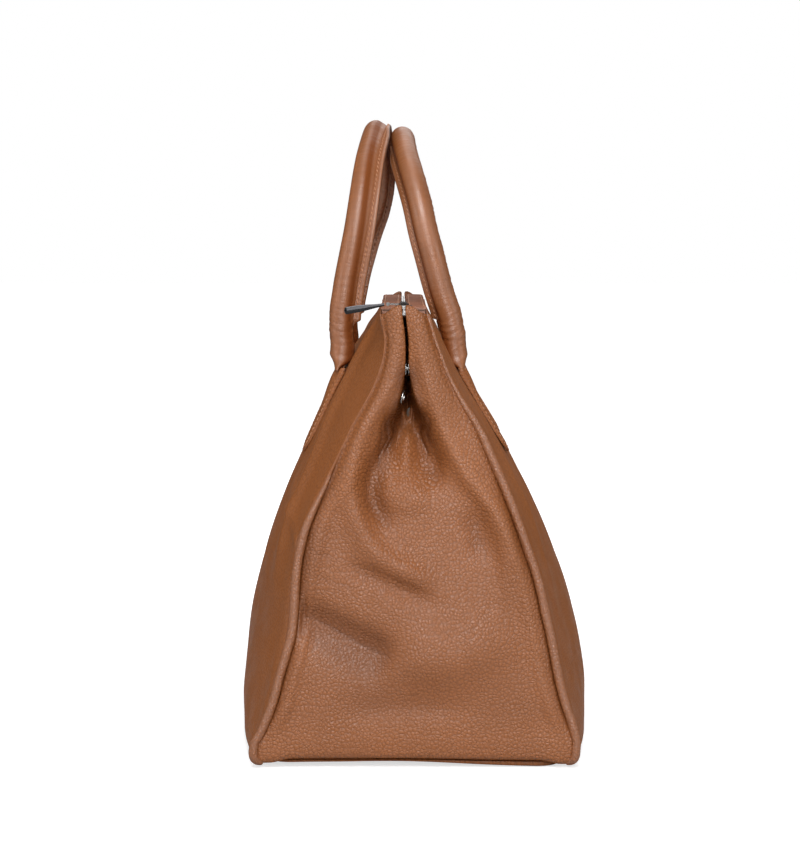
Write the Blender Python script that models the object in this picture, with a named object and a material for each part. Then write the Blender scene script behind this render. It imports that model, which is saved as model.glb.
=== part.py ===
"""A soft leather handbag: two panels, two folded gussets, rolled handles and a zip along its mouth.

Metres. +X runs along the bag's length towards the near gusset, -Y is the front, +Z is up, and the
underside of the base patch lies at z = 0. "Inward" means towards the bag's middle plane, y = 0.
"""

import math

import bmesh
import bpy
from mathutils import Matrix, Vector

# Clearance between pieces that touch, and the overrun of a cut
GAP = 0.0003
OVERRUN = 0.001

# Body
BODY_HEIGHT = 0.2431
BASE_HALF_LENGTH = 0.170
TOP_INSET = 0.020
HALF_DEPTH = 0.0985
MOUTH_HALF_DEPTH = 0.0125
BODY_LEAN = 0.008
TOP_DROP = 0.002
CORNER_RADIUS = 0.011
LEATHER = 0.002
LINING = 0.0006
LINING_GAP = 0.0012

# Half depth between the mouth (0) and the widest place (1), by share of the body's height
MIDDLE_DEPTH_SHARES = (
    (0.0, 0.97), (0.115, 1.0), (0.22, 0.969), (0.33, 0.907), (0.44, 0.817),
    (0.55, 0.70), (0.655, 0.556), (0.836, 0.277), (1.0, 0.0),
)
END_DEPTH_SHARES = (
    (0.0, 0.91), (0.054, 0.855), (0.152, 0.75), (0.27, 0.68), (0.424, 0.60),
    (0.58, 0.452), (0.7375, 0.255), (0.828, 0.117), (0.927, 0.022), (1.0, 0.0),
)
# Lean to the front as a share of BODY_LEAN, by share of the body's height
MIDDLE_LEAN_SHARES = ((0.0, 0.0), (0.22, 0.0), (0.44, 0.34), (0.655, 0.62), (0.836, 1.0), (1.0, 0.75))
END_LEAN_SHARES = ((0.0, 0.0), (0.58, 0.02), (0.83, 0.15), (0.93, 0.4), (1.0, 0.75))
BULGE_POWER = 3
DROP_POWER = 8

# Gusset and its fold
GUSSET_TOP_BELOW = 0.0031
GUSSET_DIP = 0.006
GUSSET_DIP_LENGTH = 0.013
GUSSET_BULGE = 0.005
FOLD_HALF_WIDTH = 0.052
FOLD_ROUNDING = 0.003
FOLD_FADE_SHARE = 0.15
# Share of the gusset's columns, counted from its middle, that lie inside the slit
SLIT_COLUMN_SHARE = 0.5
# Half width of the opening between the lobes, from SLIT_HALF_GAP (0) to the gusset's half depth (1)
FOLD_OPENING_SHARES = ((0.56, 0.62), (0.62, 0.45), (0.67, 0.36), (0.74, 0.26), (0.80, 0.14), (0.85, 0.02), (1.0, 0.0))
# How far the fold stands to the front of the gusset's middle, as a share of SLIT_SWAY
SLIT_SWAY = 0.0031
SLIT_SWAY_SHARES = (
    (0.50, 0.0), (0.565, 0.4), (0.627, 0.75), (0.69, 0.95), (0.753, 1.0),
    (0.816, 0.95), (0.88, 0.72), (0.942, 0.26), (1.0, 0.0),
)

# Piping
PIPING_DIAMETER = 0.005
PIPING_TUCK_ANGLE = math.radians(50)
PIPING_GAP = 0.0008

# Base
BASE_THICKNESS = 0.003
BASE_SIDE_INSET = 0.0205
BASE_END_INSET = 0.005
BASE_CORNER = 0.012
SEAM_OVERLAP = 0.008
BOARD_THICKNESS = 0.0016
BOARD_INSET = 0.001

# Handles
HANDLE_HALF_SPACING = 0.072
HANDLE_LENGTH = 0.139
HINGE_BELOW = 0.0351
HINGE_PROUD = 0.00015
TUBE_DIAMETER = 0.014
TUBE_WALL = 0.0016
CORD_GAP = 0.0005
FLANGE_REACH = 0.0042
FLANGE_THICKNESS = 0.0034
FLANGE_TURN = math.radians(30)
FLANGE_LIFT = 0.0004
FLANGE_FADE = 0.008
TONGUE_WIDTH = 0.024
TONGUE_THICKNESS = 0.0034
TONGUE_LENGTH = 0.026
TONGUE_SLOT_WIDTH = 0.016
TONGUE_SLOT = 0.0008
APEX_CLEARANCE = 0.0024
APEX_LEAN = 0.0161
FRONT_FAR_LEG_SHIFT = 0.004
BACK_FAR_LEG_SHIFT = -0.002
CHAPE_LENGTH = 0.046
CHAPE_THICKNESS = 0.0034

# Zip
ZIP_END_INSET = 0.015
TAPE_THICKNESS = 0.0006
FACING_THICKNESS = 0.0010
FACING_INSET = 0.0005
TAPE_EDGE_INSET = 0.001
FLAP_HINGE_INSET = 0.0042
CHAIN_GAP = 0.0016
CHAIN_WIDTH = 0.0012
CHAIN_THICKNESS = 0.0018
END_TAB_THICKNESS = 0.001
END_TAB_INSET = 0.0035
SLIDER_LENGTH = 0.011
SLIDER_WIDTH = 0.009
SLIDER_ROUNDING = 0.0022
SLIDER_PLATE = 0.001
SLIDER_END_INSET = 0.0065
SLIDER_WEB_CLEARANCE = 0.00035
SLIDER_WEB_LENGTH = 0.004
POST_DIAMETER = 0.0024
POST_HEAD_DIAMETER = 0.0042
POST_HEAD_THICKNESS = 0.0005
LINK_THICKNESS = 0.0008
# Keeps the arm's faces off the ring's, so that the two join cleanly
LINK_TRIM = 0.00004
LINK_RING_DIAMETER = 0.0058
LINK_REACH = 0.0085
LINK_WIDTH = 0.0022
LINK_KNUCKLE_DIAMETER = 0.002
PULLER_LENGTH = 0.027
PULLER_WIDTH = 0.0046
PULLER_THICKNESS = 0.0030
PULLER_DROOP = math.radians(7)
PULLER_ROUNDING = 0.00075
PULLER_SLOT_DEPTH = 0.0028
PULLER_PIN_DIAMETER = 0.0010

# Snap fasteners
SNAP_DIAMETER = 0.0085
SNAP_THICKNESS = 0.0007
SNAP_SEAT = 0.0005
SNAP_CLEARANCE = 0.0005
SNAP_HOLE_DIAMETER = 0.0040
SNAP_STUD_DIAMETER = 0.0030
SNAP_STUD_HEIGHT = 0.0010
UPPER_SNAP_BELOW = 0.027
LOWER_SNAP_BELOW = 0.0425
SNAP_MOUTH_INSET = 0.00225

# Numbers of steps along the shapes
PANEL_COLUMNS = 14
PANEL_ROWS = 11
GUSSET_ROWS = 14
GUSSET_HALF_COLUMNS = 8
ARC_STEPS = 4
TONGUE_STEPS = 4
ARCH_STEPS = 14
TUBE_SIDES = 10
ROUND_SIDES = 14

TOP_HALF_LENGTH = BASE_HALF_LENGTH - TOP_INSET
UNDERSIDE = BASE_THICKNESS + GAP
CORNER_TOP = UNDERSIDE + CORNER_RADIUS
EDGE = PIPING_DIAMETER / 2 + PIPING_GAP
BASE_HALF_WIDTH = HALF_DEPTH - BASE_SIDE_INSET
FLANGE_HALF_WIDTH = BASE_HALF_WIDTH - SEAM_OVERLAP
BASE_HALF_LENGTH_FLAT = BASE_HALF_LENGTH - BASE_END_INSET
FLANGE_HALF_LENGTH = BASE_HALF_LENGTH_FLAT - SEAM_OVERLAP
LINING_INSET = LEATHER + LINING_GAP
GUSSET_TOP = BODY_HEIGHT - GUSSET_TOP_BELOW
# The closed snap holds the slit this far open on each side
SLIT_HALF_GAP = SNAP_THICKNESS + SNAP_SEAT + SNAP_CLEARANCE
SNAP_DEPTH = SNAP_DIAMETER / 2 + SNAP_MOUTH_INSET
TUBE_RADIUS = TUBE_DIAMETER / 2
FLANGE_START = HINGE_BELOW + FLANGE_LIFT
CHAIN_OUTER = CHAIN_GAP / 2 + CHAIN_WIDTH
HINGE_HEIGHT = BODY_HEIGHT - HINGE_BELOW
ZIP_HALF_LENGTH = TOP_HALF_LENGTH - ZIP_END_INSET


def clear_scene():
    for obj in list(bpy.data.objects):
        bpy.data.objects.remove(obj, do_unlink=True)


def material(name, color, roughness, metallic=0.0):
    made = bpy.data.materials.new(name)
    made.use_nodes = True
    shader = made.node_tree.nodes["Principled BSDF"]
    shader.inputs["Base Color"].default_value = (*color, 1.0)
    shader.inputs["Roughness"].default_value = roughness
    shader.inputs["Metallic"].default_value = metallic
    made.diffuse_color = (*color, 1.0)
    return made


def add_object(name, data, surface):
    obj = bpy.data.objects.new(name, data)
    bpy.context.scene.collection.objects.link(obj)
    data.materials.append(surface)
    return obj


def add_mesh(name, shape, surface, smooth=True):
    """Turns a bmesh into an object, with its faces turned outward."""
    bmesh.ops.recalc_face_normals(shape, faces=shape.faces)
    data = bpy.data.meshes.new(name)
    shape.to_mesh(data)
    shape.free()
    if smooth:
        data.shade_smooth()
        data.set_sharp_from_angle(angle=math.radians(40))
    return add_object(name, data, surface)


def read_curve(shares, at):
    """A smooth line through hand-chosen share points, read at one place."""
    at = min(max(at, shares[0][0]), shares[-1][0])
    last = len(shares) - 1
    k = max(i for i in range(last) if shares[i][0] <= at)
    (x0, y0), (x1, y1) = shares[k], shares[k + 1]

    def slope(i):
        before, after = shares[max(i - 1, 0)], shares[min(i + 1, last)]
        return (after[1] - before[1]) / (after[0] - before[0])

    t = (at - x0) / (x1 - x0)
    rise = (x1 - x0) * ((t - 2) * t + 1) * t * slope(k)
    fall = (x1 - x0) * (t - 1) * t * t * slope(k + 1)
    return y0 + (y1 - y0) * (3 - 2 * t) * t * t + rise + fall


def smooth_step(t):
    t = min(max(t, 0.0), 1.0)
    return t * t * (3 - 2 * t)


# Form of the body


def half_length(z):
    """Where the end piping stands, measured along X."""
    return BASE_HALF_LENGTH + (TOP_HALF_LENGTH - BASE_HALF_LENGTH) * z / BODY_HEIGHT


def from_shares(middle, end, x, z):
    share = min(z / BODY_HEIGHT, 1.0)
    weight = min(abs(x) / half_length(z), 1.0) ** BULGE_POWER
    return read_curve(middle, share) * (1 - weight) + read_curve(end, share) * weight


def half_depth(x, z):
    """Half the bag's depth at a place along X and up Z."""
    share = from_shares(MIDDLE_DEPTH_SHARES, END_DEPTH_SHARES, x, z)
    return MOUTH_HALF_DEPTH + (HALF_DEPTH - MOUTH_HALF_DEPTH) * share


def lean(x, z):
    """The Y of the bag's middle, which leans to the front as it rises."""
    return -BODY_LEAN * from_shares(MIDDLE_LEAN_SHARES, END_LEAN_SHARES, x, z)


MOUTH_Y = lean(0, BODY_HEIGHT)


def panel_top(x):
    return BODY_HEIGHT - TOP_DROP * min(abs(x) / TOP_HALF_LENGTH, 1.0) ** DROP_POWER


def sheet_rows(first_angle, top_below, count):
    """The rows of a panel or gusset from its underside up, as ("flange", 0), ("arc", angle) or ("side", share)."""
    rows = [("flange", 0.0)] if first_angle >= math.pi / 2 else []
    rows += [("arc", first_angle * (1 - k / ARC_STEPS)) for k in range(ARC_STEPS)]
    rows += [("side", k / count, top_below) for k in range(count + 1)]
    return rows


def panel_point(side, along, row, inset, edge):
    """A point of a panel's surface. along runs from -1 at the far end to 1 at the near end."""
    kind, value = row[0], row[1]
    radius = CORNER_RADIUS - inset
    if kind == "side":
        x = along * (half_length(CORNER_TOP) - edge)
        top = panel_top(x) - row[2]
        z = CORNER_TOP + (top - CORNER_TOP) * value
        x = along * (half_length(z) - edge)
        return Vector((x, side * (half_depth(x, z) - inset) + lean(x, z), z))
    end = half_length(CORNER_TOP) - CORNER_RADIUS
    angle = value if kind == "arc" else math.pi / 2
    x = along * (end + CORNER_RADIUS * math.cos(angle) - edge)
    depth = half_depth(x, CORNER_TOP) - CORNER_RADIUS
    if kind == "arc":
        y = depth + radius * math.cos(angle)
        return Vector((x, side * y + lean(x, CORNER_TOP), CORNER_TOP - radius * math.sin(angle)))
    miter = half_depth(half_length(CORNER_TOP), CORNER_TOP) - CORNER_RADIUS - FLANGE_HALF_WIDTH
    x = along * (end - max(miter, 0.0) - edge)
    return Vector((x, side * FLANGE_HALF_WIDTH, UNDERSIDE + inset))


def gusset_path(z):
    """The gusset's section at one height as corner points (y, x), from the piping to the bottom of its fold."""
    depth = half_depth(half_length(z), z)
    share = z / BODY_HEIGHT
    opening = SLIT_HALF_GAP + (depth - SLIT_HALF_GAP) * read_curve(FOLD_OPENING_SHARES, share)
    if share <= FOLD_OPENING_SHARES[0][0]:
        fold = 0.0
    else:
        wall = max(FOLD_HALF_WIDTH - (depth - opening), opening)
        fold = math.sqrt(wall * wall - opening * opening)
        fold *= smooth_step((share - FOLD_OPENING_SHARES[0][0]) / FOLD_FADE_SHARE)
    return depth, opening, fold


def fold_middle(z):
    """The Y of the fold's middle at one height, on both gussets."""
    return lean(half_length(z), z) - SLIT_SWAY * read_curve(SLIT_SWAY_SHARES, z / BODY_HEIGHT)


def edge_stretch(z):
    """How much further apart, along Y, two edges lie than square to the piping, which slopes inward as it rises."""
    low, high = z - OVERRUN, z + OVERRUN
    rise = half_depth(half_length(high), high) - half_depth(half_length(low), low)
    return math.hypot(1.0, rise / (high - low))


def walk(points, share):
    """The point at a share of the length of a line of points."""
    lengths = [(b - a).length for a, b in zip(points, points[1:])]
    left = share * sum(lengths)
    for (a, b), length in zip(zip(points, points[1:]), lengths):
        if left <= length and length > 0:
            return a.lerp(b, left / length)
        left -= length
    return points[-1].copy()


def gusset_side_point(across, z, inset, edge):
    """A point of the near gusset's surface above its corner. across runs from -1 at the front to 1 at the back."""
    depth, opening, fold = gusset_path(z)
    end = half_length(z)
    line = [
        Vector((depth - max(edge, inset) * edge_stretch(z), end - inset)),
        Vector((opening + inset, end - inset)),
        Vector((inset, end - fold)),
        Vector((0.0, end - fold - inset)),
    ]
    total = sum((b - a).length for a, b in zip(line, line[1:]))
    mouth = (line[1] - line[0]).length / total
    if abs(across) > SLIT_COLUMN_SHARE:
        share = mouth * (1 - abs(across)) / (1 - SLIT_COLUMN_SHARE)
    else:
        share = 1 - (1 - mouth) * abs(across) / SLIT_COLUMN_SHARE
    reach = min(FOLD_ROUNDING / total, share, 1 - share)
    place = (walk(line, share - reach) + walk(line, share) * 2 + walk(line, share + reach)) / 4
    rise = math.sin(math.pi * min(z / (BODY_HEIGHT * FOLD_OPENING_SHARES[0][0]), 1.0))
    bulge = GUSSET_BULGE * rise * (1 - across * across)
    y = math.copysign(place.x, across) if across else 0.0
    to_edge = smooth_step((place.x - opening) / (depth - opening))
    middle = fold_middle(z) * (1 - to_edge) + lean(half_length(z), z) * to_edge
    return Vector((place.y + bulge, y + middle, z))


def gusset_point(end_side, across, row, inset, edge):
    kind, value = row[0], row[1]
    if kind == "side":
        folded_in = half_length(GUSSET_TOP) - gusset_side_point(across, GUSSET_TOP, inset, edge).x
        top = GUSSET_TOP - row[2] - GUSSET_DIP * smooth_step(folded_in / GUSSET_DIP_LENGTH)
        point = gusset_side_point(across, CORNER_TOP + (top - CORNER_TOP) * value, inset, edge)
    else:
        angle = value if kind == "arc" else math.pi / 2
        radius = CORNER_RADIUS - inset
        end = half_length(CORNER_TOP) - CORNER_RADIUS
        depth = half_depth(half_length(CORNER_TOP), CORNER_TOP) - CORNER_RADIUS
        if kind == "arc":
            x = end + radius * math.cos(angle)
            y = across * (depth + CORNER_RADIUS * math.cos(angle) - max(edge, inset))
            point = Vector((x, y, CORNER_TOP - radius * math.sin(angle)))
        else:
            y = across * (depth - max(end - FLANGE_HALF_LENGTH, 0.0) - max(edge, inset))
            point = Vector((FLANGE_HALF_LENGTH, y, UNDERSIDE + inset))
    point.x *= end_side
    return point


def end_columns():
    """Places along a panel, closer together towards its ends."""
    return [math.sin(math.pi / 2 * (2 * k / PANEL_COLUMNS - 1)) for k in range(PANEL_COLUMNS + 1)]


def gusset_columns():
    steps = 2 * GUSSET_HALF_COLUMNS
    return [2 * k / steps - 1 for k in range(steps + 1)]


# Solids


def sheet_solid(name, outer, inner, surface):
    """A closed sheet between two grids of points with the same rows and columns."""
    shape = bmesh.new()
    rows, columns = len(outer), len(outer[0])
    sides = [[[shape.verts.new(p) for p in row] for row in grid] for grid in (outer, inner)]
    for grid in sides:
        for r in range(rows - 1):
            for c in range(columns - 1):
                shape.faces.new((grid[r][c], grid[r][c + 1], grid[r + 1][c + 1], grid[r + 1][c]))
    rim = [(0, c) for c in range(columns - 1)]
    rim += [(r, columns - 1) for r in range(rows - 1)]
    rim += [(rows - 1, c) for c in range(columns - 1, 0, -1)]
    rim += [(r, 0) for r in range(rows - 1, 0, -1)]
    for (r0, c0), (r1, c1) in zip(rim, rim[1:] + rim[:1]):
        a, b = sides
        shape.faces.new((a[r0][c0], a[r1][c1], b[r1][c1], b[r0][c0]))
    return add_mesh(name, shape, surface)


def box(name, low, high, surface, rounding=0.0):
    shape = bmesh.new()
    bmesh.ops.create_cube(shape, size=1.0)
    size = Vector(high) - Vector(low)
    middle = (Vector(high) + Vector(low)) / 2
    bmesh.ops.scale(shape, vec=size, verts=shape.verts)
    bmesh.ops.translate(shape, vec=middle, verts=shape.verts)
    if rounding:
        bmesh.ops.bevel(shape, geom=shape.edges, offset=rounding, segments=2, profile=0.5, affect="EDGES")
    return add_mesh(name, shape, surface)


def plate(name, outline, low, high, surface):
    """A flat outline of (x, y) points, closed between two heights."""
    shape = bmesh.new()
    bottom = [shape.verts.new((x, y, low)) for x, y in outline]
    face = shape.faces.new(bottom)
    raised = bmesh.ops.extrude_face_region(shape, geom=[face])["geom"]
    moved = [v for v in raised if isinstance(v, bmesh.types.BMVert)]
    bmesh.ops.translate(shape, vec=(0, 0, high - low), verts=moved)
    return add_mesh(name, shape, surface)


def rounded_outline(half_x, half_y, radius, steps):
    """A rectangle with round corners, anticlockwise."""
    points = []
    for quarter, (sx, sy) in enumerate(((1, 1), (-1, 1), (-1, -1), (1, -1))):
        for k in range(steps + 1):
            angle = (quarter + k / steps) * math.pi / 2
            x = sx * (half_x - radius) + radius * math.cos(angle)
            y = sy * (half_y - radius) + radius * math.sin(angle)
            points.append((x, y))
    return points


def turned(name, profile, centre, axis, surface):
    """Turns (radius, height) points about an axis through centre. The points run from the axis out and back."""
    shape = bmesh.new()
    verts = [shape.verts.new((r, 0, h)) for r, h in profile]
    loop = verts + verts[:1] if profile[0][0] > 0 else verts
    edges = [shape.edges.new(pair) for pair in zip(loop, loop[1:])]
    bmesh.ops.spin(
        shape, geom=verts + edges, cent=(0, 0, 0), axis=(0, 0, 1), angle=2 * math.pi,
        steps=ROUND_SIDES, use_merge=True, use_duplicate=False,
    )
    bmesh.ops.remove_doubles(shape, verts=shape.verts, dist=OVERRUN / 1000)
    turn = Vector((0, 0, 1)).rotation_difference(Vector(axis)).to_matrix().to_4x4()
    shape.transform(Matrix.Translation(centre) @ turn)
    return add_mesh(name, shape, surface)


def tube_along(name, points, diameter, surface):
    """A round cord along points, with flat ends."""
    data = bpy.data.curves.new(name, "CURVE")
    data.dimensions = "3D"
    line = data.splines.new("POLY")
    line.points.add(len(points) - 1)
    for place, point in zip(line.points, points):
        place.co = (*point, 1.0)
    data.bevel_depth = diameter / 2
    data.bevel_resolution = 2
    data.use_fill_caps = True
    return add_object(name, data, surface)


def joined_rings(shape, rings, closed_ends):
    """Skins rings of points with the same count, one after another."""
    loops = [[shape.verts.new(p) for p in ring] for ring in rings]
    count = len(loops[0])
    for low, high in zip(loops, loops[1:]):
        for k in range(count):
            shape.faces.new((low[k], low[(k + 1) % count], high[(k + 1) % count], high[k]))
    if closed_ends:
        shape.faces.new(loops[0])
        shape.faces.new(loops[-1])
    return loops


def cut(target, cutter):
    """Takes a hidden cutter away from a solid."""
    cutter.hide_render = True
    cutter.display_type = "WIRE"
    boolean = target.modifiers.new("Cut", "BOOLEAN")
    boolean.operation = "DIFFERENCE"
    boolean.object = cutter


def join(target, other):
    """Adds a hidden shape to a solid."""
    other.hide_render = True
    other.display_type = "WIRE"
    boolean = target.modifiers.new("Join", "BOOLEAN")
    boolean.operation = "UNION"
    boolean.object = other


# Panels, gussets, lining and piping


def make_panel(name, side, surface):
    rows = sheet_rows(math.pi / 2, 0.0, PANEL_ROWS)
    grids = [
        [[panel_point(side, along, row, inset, EDGE) for along in end_columns()] for row in rows]
        for inset in (0.0, LEATHER)
    ]
    sheet_solid(name, grids[0], grids[1], surface)


def make_gusset(name, end_side, surface):
    rows = sheet_rows(math.pi / 2, 0.0, GUSSET_ROWS)
    grids = [
        [[gusset_point(end_side, across, row, inset, EDGE) for across in gusset_columns()] for row in rows]
        for inset in (0.0, LEATHER)
    ]
    sheet_solid(name, grids[0], grids[1], surface)


def make_lining(surface):
    """Five pieces of cloth that line the panels, the gussets and the base board."""
    start = math.pi / 4
    edge = LINING_INSET + LINING + GAP
    below = BODY_HEIGHT - GUSSET_TOP + GAP
    insets = (LINING_INSET, LINING_INSET + LINING)
    for name, side in (("front_lining", -1), ("back_lining", 1)):
        rows = sheet_rows(start, below, PANEL_ROWS)
        grids = [
            [[panel_point(side, along, row, inset, edge + GAP) for along in end_columns()] for row in rows]
            for inset in insets
        ]
        sheet_solid(name, grids[0], grids[1], surface)
    for name, end_side in (("near_gusset_lining", 1), ("far_gusset_lining", -1)):
        rows = sheet_rows(start, GAP, GUSSET_ROWS)
        grids = [
            [[gusset_point(end_side, across, row, inset, edge + LINING) for across in gusset_columns()] for row in rows]
            for inset in insets
        ]
        sheet_solid(name, grids[0], grids[1], surface)
    half_x, half_y = board_half_size()
    low = board_top() + GAP
    outline = rounded_outline(half_x - GAP, half_y - GAP, BASE_CORNER, ARC_STEPS)
    plate("base_lining", outline, low, low + LINING, surface)


def make_piping(surface):
    for end_name, end_side in (("near", 1), ("far", -1)):
        for side_name, side in (("front", -1), ("back", 1)):
            points = []
            for k in range(ARC_STEPS + 1):
                angle = PIPING_TUCK_ANGLE * (1 - k / ARC_STEPS)
                back = CORNER_RADIUS * (1 - math.cos(angle))
                end = half_length(CORNER_TOP)
                depth = half_depth(end, CORNER_TOP)
                z = CORNER_TOP - CORNER_RADIUS * math.sin(angle)
                points.append(Vector((end_side * (end - back), side * (depth - back), z)))
            for k in range(1, GUSSET_ROWS + 1):
                z = CORNER_TOP + (GUSSET_TOP - CORNER_TOP) * k / GUSSET_ROWS
                x = half_length(z)
                points.append(Vector((end_side * x, side * half_depth(x, z) + lean(x, z), z)))
            tube_along(f"{side_name}_{end_name}_piping", points, PIPING_DIAMETER, surface)


# Base


def board_half_size():
    end = half_length(CORNER_TOP)
    return (
        end - CORNER_RADIUS - BOARD_INSET,
        half_depth(end, CORNER_TOP) - CORNER_RADIUS - BOARD_INSET,
    )


def board_top():
    return UNDERSIDE + LEATHER + GAP + BOARD_THICKNESS


def make_base(leather, board):
    outline = rounded_outline(BASE_HALF_LENGTH_FLAT, BASE_HALF_WIDTH, BASE_CORNER, ARC_STEPS)
    plate("base_panel", outline, 0.0, BASE_THICKNESS, leather)
    half_x, half_y = board_half_size()
    outline = rounded_outline(half_x, half_y, BASE_CORNER, ARC_STEPS)
    plate("base_board", outline, board_top() - BOARD_THICKNESS, board_top(), board)


# Handles


def chape_point(side, x, z, proud):
    return Vector((x, side * (half_depth(x, z) + proud) + lean(x, z), z))


def make_chapes(surface):
    """The flattened ends of the handles' leather, sewn flat on the panels with round lower ends."""
    half_width = TONGUE_WIDTH / 2
    rows = [k / GUSSET_HALF_COLUMNS for k in range(GUSSET_HALF_COLUMNS + 1)]
    columns = [k / ARC_STEPS - 1 for k in range(2 * ARC_STEPS + 1)]
    for end_name, end_side in (("near", 1), ("far", -1)):
        for side_name, side in (("front", -1), ("back", 1)):
            grids = []
            for proud in (GAP + CHAPE_THICKNESS, GAP):
                grid = []
                for row in rows:
                    height = CHAPE_LENGTH * (1 - math.cos(row * math.pi / 2)) + GAP
                    rounding = min(height / half_width, 1.0)
                    width = half_width * math.sqrt(1 - (1 - rounding) ** 2)
                    z = HINGE_HEIGHT - CHAPE_LENGTH + height - GAP
                    centre = end_side * HANDLE_HALF_SPACING
                    grid.append([chape_point(side, centre + c * width, z, proud) for c in columns])
                grids.append(grid)
            sheet_solid(f"{side_name}_{end_name}_chape", grids[0], grids[1], surface)


def handle_hinge(side):
    """The middle of a handle's hinge line, just proud of the chapes' top outer edge."""
    proud = GAP + CHAPE_THICKNESS + HINGE_PROUD
    y = chape_point(side, HANDLE_HALF_SPACING, HINGE_HEIGHT, proud).y
    return Vector((0.0, y, HINGE_HEIGHT))


def handle_lean(side):
    """The angle from upright at which a handle stands, so that both meet at their tops."""
    apex = side * (TUBE_RADIUS + APEX_CLEARANCE / 2) - APEX_LEAN
    return math.asin(side * (handle_hinge(side).y - apex) / HANDLE_LENGTH)


def handle_stations(start):
    """Places along the arch: (x, height, angle of the path, distance from the nearest hinge)."""
    leg = HANDLE_LENGTH - HANDLE_HALF_SPACING
    flange_top = FLANGE_START + FLANGE_FADE
    heights = [start] + [TONGUE_LENGTH * k / TONGUE_STEPS for k in range(1, TONGUE_STEPS + 1)]
    heights += [FLANGE_START, (FLANGE_START + flange_top) / 2, flange_top]
    up = [(HANDLE_HALF_SPACING, h, math.pi / 2, h) for h in heights]
    over = []
    for k in range(ARCH_STEPS + 1):
        turn = math.pi * k / ARCH_STEPS
        x = HANDLE_HALF_SPACING * math.cos(turn)
        rise = HANDLE_HALF_SPACING * math.sin(turn)
        over.append((x, leg + rise, math.pi / 2 + turn, leg + rise))
    down = [(-x, h, 3 * math.pi / 2, s) for x, h, _, s in reversed(up)]
    return up + over + down


def handle_axes(side):
    tilt = handle_lean(side)
    rise = Vector((0.0, -side * math.sin(tilt), math.cos(tilt)))
    inward = Vector((0.0, -side * math.cos(tilt), -math.sin(tilt)))
    return rise, inward


def handle_ring(side, station, outline):
    """Places an outline of (outward, inward) points on a station of a handle."""
    x, height, angle, distance = station
    rise, inward = handle_axes(side)
    shift = FRONT_FAR_LEG_SHIFT if side < 0 else BACK_FAR_LEG_SHIFT
    far_share = ((1 - x / HANDLE_HALF_SPACING) / 2) ** 2
    shift *= far_share * smooth_step((distance - TONGUE_LENGTH) / TONGUE_LENGTH)
    seat = TONGUE_THICKNESS / 2 * (1 - smooth_step(distance / TONGUE_LENGTH))
    centre = handle_hinge(side) + Vector((x, 0, 0)) + rise * height + inward * (shift + seat)
    outward = Vector((math.sin(angle), 0, 0)) - rise * math.cos(angle)
    return [centre + outward * a + inward * b for a, b in outline]


def handle_outline(side, station, radius, flange, flat_width, flat_thickness):
    """A round outline with a flange towards the bag's middle, pressed flat near the hinge."""
    distance = station[3]
    lift = FLANGE_TURN * smooth_step((distance - TONGUE_LENGTH) / (HANDLE_LENGTH - TONGUE_LENGTH))
    lift *= -side
    half = FLANGE_THICKNESS / 2
    first = math.asin(half / TUBE_RADIUS)
    tip = radius + flange * smooth_step((distance - FLANGE_START) / FLANGE_FADE)
    points = [(tip, -half * radius / TUBE_RADIUS), (tip, half * radius / TUBE_RADIUS)]
    for k in range(TUBE_SIDES + 1):
        angle = first + (2 * math.pi - 2 * first) * k / TUBE_SIDES
        points.append((radius * math.cos(angle), radius * math.sin(angle)))
    pressed = 1 - smooth_step(distance / TONGUE_LENGTH)
    width = 1 + pressed * (flat_width / 2 / radius - 1)
    depth = 1 + pressed * (flat_thickness / 2 / radius - 1)
    made = []
    for a, b in points:
        inward = a * math.cos(lift) - b * math.sin(lift)
        outward = a * math.sin(lift) + b * math.cos(lift)
        made.append((outward * width, inward * depth))
    return made


def make_handle(side_name, side, leather, cord):
    """A leather cover rolled round a cord, open in a thin slot at both flat ends."""
    start = GAP + TONGUE_THICKNESS * math.tan(handle_lean(side))
    stations = handle_stations(start)
    bore = TUBE_RADIUS - TUBE_WALL
    outer = [
        handle_ring(side, s, handle_outline(side, s, TUBE_RADIUS, FLANGE_REACH, TONGUE_WIDTH, TONGUE_THICKNESS))
        for s in stations
    ]
    inner = [
        handle_ring(side, s, handle_outline(side, s, bore, 0.0, TONGUE_SLOT_WIDTH, TONGUE_SLOT))
        for s in stations
    ]
    shape = bmesh.new()
    outer_loops = joined_rings(shape, outer, False)
    inner_loops = joined_rings(shape, inner, False)
    count = len(outer[0])
    for a, b in ((outer_loops[0], inner_loops[0]), (outer_loops[-1], inner_loops[-1])):
        for k in range(count):
            shape.faces.new((a[k], a[(k + 1) % count], b[(k + 1) % count], b[k]))
    add_mesh(f"{side_name}_handle_cover", shape, leather)

    shape = bmesh.new()
    core = bore - CORD_GAP
    ring = [
        (core * math.cos(2 * math.pi * k / TUBE_SIDES), core * math.sin(2 * math.pi * k / TUBE_SIDES))
        for k in range(TUBE_SIDES)
    ]
    rings = [handle_ring(side, s, ring) for s in stations if s[3] > TONGUE_LENGTH + OVERRUN]
    joined_rings(shape, rings, True)
    add_mesh(f"{side_name}_handle_core", shape, cord)


# Zip


def zip_levels():
    """Heights of the zip's layers, from the panels' top edge up."""
    tape = BODY_HEIGHT + GAP
    facing = tape + TAPE_THICKNESS + GAP
    top = facing + FACING_THICKNESS
    chain = tape + TAPE_THICKNESS / 2 - CHAIN_THICKNESS / 2
    return tape, facing, top, chain


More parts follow.
